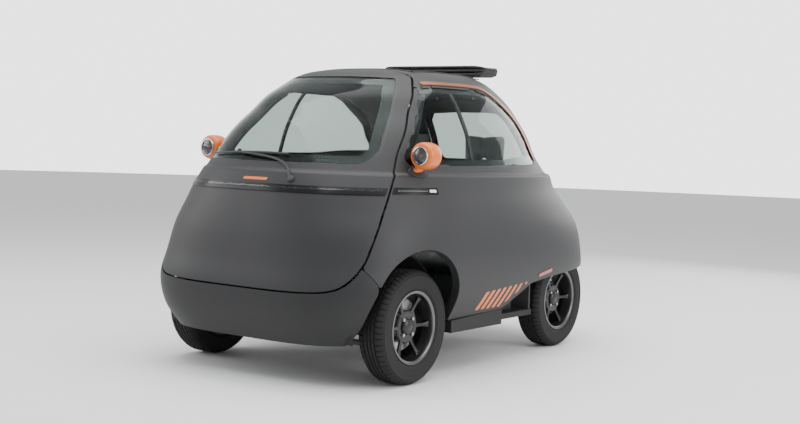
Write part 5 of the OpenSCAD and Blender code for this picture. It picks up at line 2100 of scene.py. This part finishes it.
@dataclass
class LampPods:
    """The two round headlamp pods on their feet."""

    place: tuple = (0.670, -0.706, 1.058)
    radius: float = 0.0632
    half: float = 0.0525

    def _pod(self, name: str, sign: int) -> None:
        """Builds one pod with its lamp, ring and foot.

        Args:
            name: the piece's name.
            sign: 1 for the car's left, -1 for its right.
        """
        x, y, z = self.place
        place = Matrix.Translation((sign * x, y, z)) @ Matrix.Rotation(math.radians(90), 4, "X")
        r, h = self.radius, self.half
        shell = [(1e-4, -h), (r * 0.50, -h + 0.001), (r * 0.80, -h + 0.007), (r * 0.95, -h + 0.020),
                 (r, -h + 0.040), (r, h - 0.026), (r * 0.985, h - 0.015), (r * 0.93, h - 0.006), (r * 0.83, h - 0.001),
                 (r * 0.72, h), (r * 0.66, h), (r * 0.64, h - 0.006), (1e-4, h - 0.026)]
        bm = bmesh.new()
        add_lathe(bm, shell, place, 72)
        foot = self._foot(sign)
        merge(bm, foot)
        declare(finish_mesh(f"lamp_pod_{name}", bm, PALETTE["orange_paint"], sharp=32), "root", "orange_trim",
                *(("lamp_pods",) if sign > 0 else ()))
        ring = bmesh.new()
        profile = [(0.0385, h - 0.004), (0.0385, h + 0.005), (0.0398, h + 0.0080), (0.0418, h + 0.0075),
                   (0.0430, h + 0.003), (0.0432, h - 0.004)]
        add_lathe(ring, profile, place, 72)
        declare(finish_mesh(f"lamp_ring_{name}", ring, PALETTE["chrome"]), "root", "orange_trim")
        glass = bmesh.new()
        dome = [(1e-4, h + 0.0098), (0.015, h + 0.0090), (0.026, h + 0.0070), (0.0350, h + 0.0040),
                (0.0383, h + 0.0018), (0.0383, h - 0.0005), (0.0345, h + 0.0020), (0.026, h + 0.0048),
                (0.015, h + 0.0068), (1e-4, h + 0.0075)]
        add_lathe(glass, dome, place, 64)
        declare(finish_mesh(f"lamp_glass_{name}", glass, PALETTE["lamp_glass"]), "root", "lamp_glass",
                *(("lamp_lenses",) if sign > 0 else ()))
        bowl = bmesh.new()
        deep = [(0.0380, h + 0.0003)]
        for k in range(7):
            radius = 0.0358 - 0.0042 * k
            deep += [(radius, h - 0.0034 - 0.0014 * k), (radius - 0.0020, h - 0.0016 - 0.0014 * k)]
        deep += [(1e-4, h - 0.0150), (1e-4, h - 0.0190), (0.0380, h - 0.0055)]
        add_lathe(bowl, deep, place, 64)
        declare(finish_mesh(f"lamp_bowl_{name}", bowl, PALETTE["lamp_bowl"], sharp=20), "root", "lamp_glass")
        bulb = bmesh.new()
        add_lathe(bulb, [(1e-4, h + 0.001), (0.0045, h), (0.0065, h - 0.004), (0.0065, h - 0.013),
                         (1e-4, h - 0.014)], place, 32)
        declare(finish_mesh(f"lamp_bulb_{name}", bulb, PALETTE["orange_paint"]), "root", "orange_trim")

    def _foot(self, sign: int) -> bmesh.types.BMesh:
        """Returns the arm that carries a pod from the body's skin.

        Args:
            sign: 1 for the car's left, -1 for its right.

        Returns:
            The arm that carries a pod from the body's skin.
        """
        x, y, z = self.place
        bm = bmesh.new()
        root, out = SHAPE.find(0.985, along=-0.700, sign=sign)
        start = root + out * 0.001
        end = Vector((sign * (x - 0.030), y + 0.004, z - 0.034))
        path = [start, start.lerp(end, 0.35) + Vector((0, 0, -0.004)), start.lerp(end, 0.7), end]
        path = curve_through([tuple(p) for p in path], 6)
        sizes = [(0.030 - 0.010 * t, 0.016 - 0.002 * t) for t in np.linspace(0, 1, len(path))]
        add_sweep(bm, path, sizes, sides=20, power=0.8)
        return bm

    def build(self) -> None:
        """Builds both pods and the black bases under them."""
        for name, sign in SIDES:
            self._pod(name, sign)
            base = bmesh.new()
            points = []
            for k in range(28):
                turn = 2 * math.pi * k / 28
                up, along = 0.980 + 0.026 * math.sin(turn), -0.700 + 0.052 * math.cos(turn)
                points.append(SHAPE.find(up, along=along, sign=sign))
            middle = sum((p for p, _ in points), Vector()) / len(points)
            low = [p + o * 0.0012 for p, o in points]
            high = [(p + o * 0.0078).lerp(middle + o * 0.0078, 0.07) for p, o in points]
            add_grid(base, [low, high])
            declare(finish_mesh(f"pod_base_{name}", base, PALETTE["black_plastic"]), "root", "black_plastic")


@dataclass
class Wiper:
    """The wiper of the windscreen: arm, blade and pivot cap."""

    arm: tuple = ((209, 933), (190, 955), (165, 978), (130, 1000), (80, 1016), (20, 1026), (-60, 1034), (-160, 1040))
    blade: tuple = ((-400, 1030), (-280, 1038), (-160, 1044), (-10, 1046), (130, 1044))

    @staticmethod
    def _on_skin(points: Sequence, lift: float) -> list:
        """Returns a smooth line over the glass, a little above it.

        Args:
            points: the points, a row each.
            lift: the height above the glass.

        Returns:
            A smooth line over the glass, a little above it.
        """
        line = []
        for x, z in curve_through(mm(points), 6):
            point, out = SHAPE.find(float(z), across=float(x), sign=-1)
            line.append(point + out * lift)
        return line

    def build(self) -> None:
        """Builds the wiper in place of its plain node."""
        bm = bmesh.new()
        arm = self._on_skin(self.arm, 0.0080)
        taper = [(0.0070 - 0.0030 * t, 0.0030) for t in np.linspace(0, 1, len(arm))]
        add_sweep(bm, arm, taper, up=(0, -1, 0.3), sides=12, power=0.7)
        spine = self._on_skin(self.blade, 0.0058)
        add_sweep(bm, spine, [(0.0045, 0.0026)] * len(spine), up=(0, -1, 0.3), sides=10, power=0.8)
        point, out = SHAPE.find(0.933, across=0.209, sign=-1)
        place = Matrix.Translation(point + out * 0.0008) @ out.to_track_quat("Z", "Y").to_matrix().to_4x4()
        add_lathe(bm, [(1e-4, 0), (0.0160, 0), (0.0160, 0.0050), (0.0135, 0.0090), (0.0070, 0.0108), (1e-4, 0.0112)],
                  place, 40)
        declare(finish_mesh("windscreen_wiper", bm, PALETTE["black_plastic"]), "door", "black_plastic", "wiper")
        lip = bmesh.new()
        edge = self._on_skin(self.blade, 0.0018)
        add_sweep(lip, edge, [(0.0014, 0.0022)] * len(edge), up=(0, -1, 0.3), sides=6)
        declare(finish_mesh("wiper_lip", lip, PALETTE["rubber_seal"]), "door", "black_plastic")


@dataclass
class Cabin:
    """The dashboard, its display, the steering wheel, the pedals and the knobs of the side windows."""

    half: float = 0.524
    section: tuple = (
        (-735, 900), (-731, 945), (-722, 968), (-700, 979), (-660, 987), (-620, 989), (-585, 982), (-567, 966),
        (-562, 945), (-568, 905), (-600, 884), (-650, 873), (-700, 882),
    )
    wheel_place: tuple = (0.285, -0.400, 1.010)
    slope: float = 24.0

    def _dashboard(self) -> None:
        """Builds the dashboard with its display, vents and shelf."""
        bm = bmesh.new()
        rings = []
        for x in np.linspace(-self.half, self.half, 61):
            tuck = max(0.0, (abs(x) - 0.44) / 0.084)
            scale = 1 - 0.30 * tuck**2
            ring = []
            for y, z in curve_through(mm(self.section + (self.section[0],)), 3)[:-1]:
                ring.append((x, -0.640 + (y + 0.640) * scale, 0.932 + (z - 0.932) * scale))
            rings.append(ring)
        add_grid(bm, rings)
        add_box(bm, (-0.0895, -0.6995, 0.236), (0.0895, -0.6405, 0.885), 0.014)
        declare(finish_mesh("dashboard_shell", bm, PALETTE["cabin_trim"]), "root", "black_plastic", "dashboard")
        screen = bmesh.new()
        tilt = Matrix.Translation((0.0, -0.5655, 0.930)) @ Matrix.Rotation(math.radians(-8), 4, "X")
        add_box(screen, (-0.105, -0.006, -0.034), (0.105, 0.010, 0.034), 0.006, tilt)
        declare(finish_mesh("display_frame", screen, PALETTE["gloss_black"]), "root", "black_plastic")
        pane = bmesh.new()
        add_box(pane, (-0.097, 0.0098, -0.027), (0.097, 0.0112, 0.027), 0.0005, tilt)
        declare(finish_mesh("display_pane", pane, PALETTE["display_black"]), "root", "gloss_black")
        vents = bmesh.new()
        for x in (-0.440, -0.200, 0.440):
            place = Matrix.Translation((x, -0.5640, 0.945)) @ Matrix.Rotation(math.radians(-90), 4, "X")
            add_lathe(vents, [(0.026, -0.004), (0.037, -0.004), (0.037, 0.004), (0.033, 0.008), (0.028, 0.006),
                              (0.026, 0.001)], place, 40)
            for k in range(-2, 3):
                reach = math.sqrt(0.0275**2 - (k * 0.0095) ** 2)
                low, high = 0.9438 + k * 0.0095, 0.9462 + k * 0.0095
                add_box(vents, (x - reach, -0.5655, low), (x + reach, -0.5605, high), 0.0006)
        declare(finish_mesh("dashboard_vents", vents, PALETTE["black_plastic"]), "root", "black_plastic")

    def _steering_wheel(self) -> None:
        """Builds the steering wheel on its sloping axis."""
        place = Matrix.Translation(self.wheel_place) @ Matrix.Rotation(math.radians(90 + self.slope), 4, "X")
        rim = bmesh.new()
        loop = []
        for k in range(96):
            turn = 2 * math.pi * k / 96
            ring = []
            for j in range(20):
                around = 2 * math.pi * j / 20
                radius = 0.162 + 0.0128 * math.cos(around)
                grip = 0.0128 + 0.0004 * math.sin(3 * around)
                ring.append(place @ Vector((radius * math.cos(turn), radius * math.sin(turn), grip * math.sin(around))))
            loop.append(ring)
        add_grid(rim, loop, wrap=True)
        declare(finish_mesh("steering_rim", rim, PALETTE["black_plastic"]), "steering", "black_plastic",
                "steering_wheel")
        hub = bmesh.new()
        add_lathe(hub, [(0.0115, -0.006), (0.040, -0.008), (0.046, 0.002), (0.044, 0.020), (0.030, 0.027),
                        (0.0115, 0.028)], place, 64)
        add_lathe(hub, [(1e-4, -0.019), (0.020, -0.018), (0.036, -0.014), (0.042, -0.0085), (0.040, -0.0072),
                        (1e-4, -0.0072)], place, 64)
        for turn in (0, 180, 270):
            spin = place @ Matrix.Rotation(math.radians(turn), 4, "Z")
            path = [spin @ Vector((0.036 + 0.117 * t, 0, 0.004 + 0.004 * math.sin(math.pi * t)))
                    for t in np.linspace(0, 1, 12)]
            sizes = [(0.016 - 0.005 * math.sin(math.pi * t), 0.0045) for t in np.linspace(0, 1, 12)]
            add_sweep(hub, path, sizes, up=tuple(spin.to_3x3() @ Vector((0, 0, 1))), sides=14, power=0.6)
        declare(finish_mesh("steering_hub", hub, PALETTE["cabin_trim"]), "steering", "black_plastic")

    def _floor_things(self) -> None:
        """Builds the pedals, the mats and the parking brake lever."""
        pedals = bmesh.new()
        for x, width in ((0.225, 0.045), (0.340, 0.032)):
            path = curve_through([(x, -0.520, 0.300), (x, -0.545, 0.380), (x, -0.580, 0.480), (x, -0.630, 0.560)], 6)
            add_sweep(pedals, path, [(0.007, 0.006)] * len(path), up=(1, 0, 0), sides=10)
            tilt = Matrix.Translation((x, -0.515, 0.300)) @ Matrix.Rotation(math.radians(35), 4, "X")
            add_box(pedals, (-width, -0.006, -0.030), (width, 0.004, 0.030), 0.004, tilt)
            for k in range(5):
                low, high = -0.024 + k * 0.011, -0.019 + k * 0.011
                add_box(pedals, (-width + 0.006, 0.003, low), (width - 0.006, 0.0065, high), 0.001, tilt)
        add_box(pedals, (0.180, -0.650, 0.540), (0.385, -0.615, 0.600), 0.006)
        for x in (0.195, 0.370):
            add_rod(pedals, (x, -0.632, 0.590), (x, -0.640, 0.885), 0.008)
        declare(finish_mesh("pedals", pedals, PALETTE["dark_steel"]), "root", "dark_steel")
        mats = bmesh.new()
        for left, right in ((-0.45, -0.09), (0.09, 0.45)):
            add_box(mats, (left, -0.415, 0.2352), (right, -0.090, 0.2412), 0.003)
        declare(finish_mesh("floor_mats", mats, PALETTE["cabin_carpet"]), "root", "black_plastic")
        lever = bmesh.new()
        add_box(lever, (-0.026, -0.330, 0.236), (0.026, -0.130, 0.262), 0.008)
        path = curve_through([(0, -0.180, 0.255), (0, -0.250, 0.290), (0, -0.330, 0.345)], 6)
        add_sweep(lever, path, [(0.010, 0.012)] * len(path), sides=14)
        declare(finish_mesh("parking_brake", lever, PALETTE["black_plastic"]), "root", "black_plastic")

    def _door_things(self) -> None:
        """Builds the knobs of the side windows."""
        for name, sign in SIDES:
            knob = bmesh.new()
            point, out = SHAPE.find(1.045, along=-0.585, sign=sign)
            place = Matrix.Translation(point - out * 0.004) @ out.to_track_quat("Z", "Y").to_matrix().to_4x4()
            place = place @ Matrix.Diagonal((1.35, 0.9, 1, 1))
            add_lathe(knob, [(1e-4, 0), (0.013, 0), (0.0135, 0.004), (0.011, 0.0085), (0.006, 0.0100), (1e-4, 0.0102)],
                      place, 32)
            declare(finish_mesh(f"window_knob_{name}", knob, PALETTE["gloss_black"]), "root", "black_plastic")

    def build(self) -> None:
        """Builds everything in the cabin but the seats."""
        self._dashboard()
        self._steering_wheel()
        self._floor_things()
        self._door_things()


@dataclass
class RunningGear:
    """Springs, dampers, rods, the ribs of the motor and what holds the plate."""

    def _spring(self, bm: bmesh.types.BMesh, foot: Sequence, head: Sequence, radius: float, wire: float,
                turns: float) -> None:
        """Adds a coil spring round a damper.

        Args:
            bm: the mesh that gets it.
            foot: the lower end.
            head: the upper end.
            radius: its radius.
            wire: the radius of the wire.
            turns: the number of turns.
        """
        foot, head = Vector(foot), Vector(head)
        place = Matrix.Translation(foot) @ (head - foot).to_track_quat("Z", "Y").to_matrix().to_4x4()
        length = (head - foot).length
        count = int(turns * 20)
        path = []
        for k in range(count + 1):
            turn = 2 * math.pi * turns * k / count
            path.append(place @ Vector((radius * math.cos(turn), radius * math.sin(turn), length * k / count)))
        axis = (head - foot).normalized()
        add_sweep(bm, path, [(wire, wire)] * len(path), up=tuple(axis), sides=8)

    def build(self) -> None:
        """Builds the visible running gear."""
        springs, dampers = bmesh.new(), bmesh.new()
        for sign in (-1, 1):
            foot, head = (sign * 0.330, 0.730, 0.300), (sign * 0.330, 0.700, 0.520)
            self._spring(springs, foot, head, 0.034, 0.0055, 6)
            add_rod(dampers, foot, head, 0.014)
            add_rod(dampers, (sign * 0.330, 0.745, 0.268), (sign * 0.330, 0.729, 0.306), 0.020)
        declare(finish_mesh("rear_springs", springs, PALETTE["spring_steel"]), "root", "dark_steel")
        declare(finish_mesh("rear_dampers", dampers, PALETTE["dark_steel"]), "root", "dark_steel")
        ribs = bmesh.new()
        low, high = box_of("motor_block")
        for k in range(9):
            x = low.x + 0.05 + k * (high.x - low.x - 0.10) / 8
            left, right = x - 0.003, x + 0.003
            add_box(ribs, (left, low.y + 0.012, high.z - 0.002), (right, high.y - 0.012, high.z + 0.010), 0.001)
            add_box(ribs, (left, high.y - 0.002, low.z + 0.03), (right, high.y + 0.008, high.z - 0.012), 0.001)
        declare(finish_mesh("motor_ribs", ribs, PALETTE["motor_casting"]), "root", "motor_casting")
        plate_low, plate_high = box_of("rear_plate")
        heads = [(Vector((x, plate_high.y + 0.0002, (plate_low.z + plate_high.z) / 2)), Vector((0, 1, 0)))
                 for x in (-0.150, 0.150)]
        Fixing(0.0062, 0.0022, 0.0050, 12, "root", "dark_steel", "bright_steel").scatter("plate_screws", heads)
        stiff = bmesh.new()
        for z in (plate_low.z + 0.004, plate_high.z - 0.004):
            y = plate_high.y - 0.0005
            add_rod(stiff, (plate_low.x + 0.006, y, z), (plate_high.x - 0.006, y, z), 0.0012, segments=8)
        declare(finish_mesh("plate_beads", stiff, PALETTE["plate_white"]), "root", "plate_white")




def dress_nodes() -> None:
    """Gives every node that stays its material."""
    finish_of = {
        "sills": "under_plastic", "floor_pan": "under_plastic", "boot_floor": "cabin_carpet",
        "bench_base": "black_plastic", "door_hinges": "dark_steel", "hinge_pins": "bright_steel",
        "hatch_hinges": "dark_steel", "front_suspension": "dark_steel", "rear_axle": "dark_steel",
        "motor_block": "motor_casting", "knuckle_left": "dark_steel", "knuckle_right": "dark_steel",
        "steering_column": "black_plastic", "rear_plate": "plate_white",
    }
    for node, finish in finish_of.items():
        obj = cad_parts[node]
        obj.data.materials.clear()
        obj.data.materials.append(PALETTE[finish])


def main() -> None:
    """Builds the classes in order."""
    logging.basicConfig(level=logging.INFO, format="%(name)s %(message)s")
    Studio().build()
    BodyPanels().build()
    Glazing().build()
    BodyTrim().build()
    for name, body, sign, ahead in (("front_left", "wheel_fl", 1, True), ("front_right", "wheel_fr", -1, True),
                                    ("rear_left", "wheel_rl", 1, False), ("rear_right", "wheel_rr", -1, False)):
        Wheel(name, body, sign, ahead).build()
    LampPods().build()
    Wiper().build()
    FoldedRoof().build()
    Seats().build()
    Cabin().build()
    RunningGear().build()
    dress_nodes()


if __name__ == "__main__":
    main()
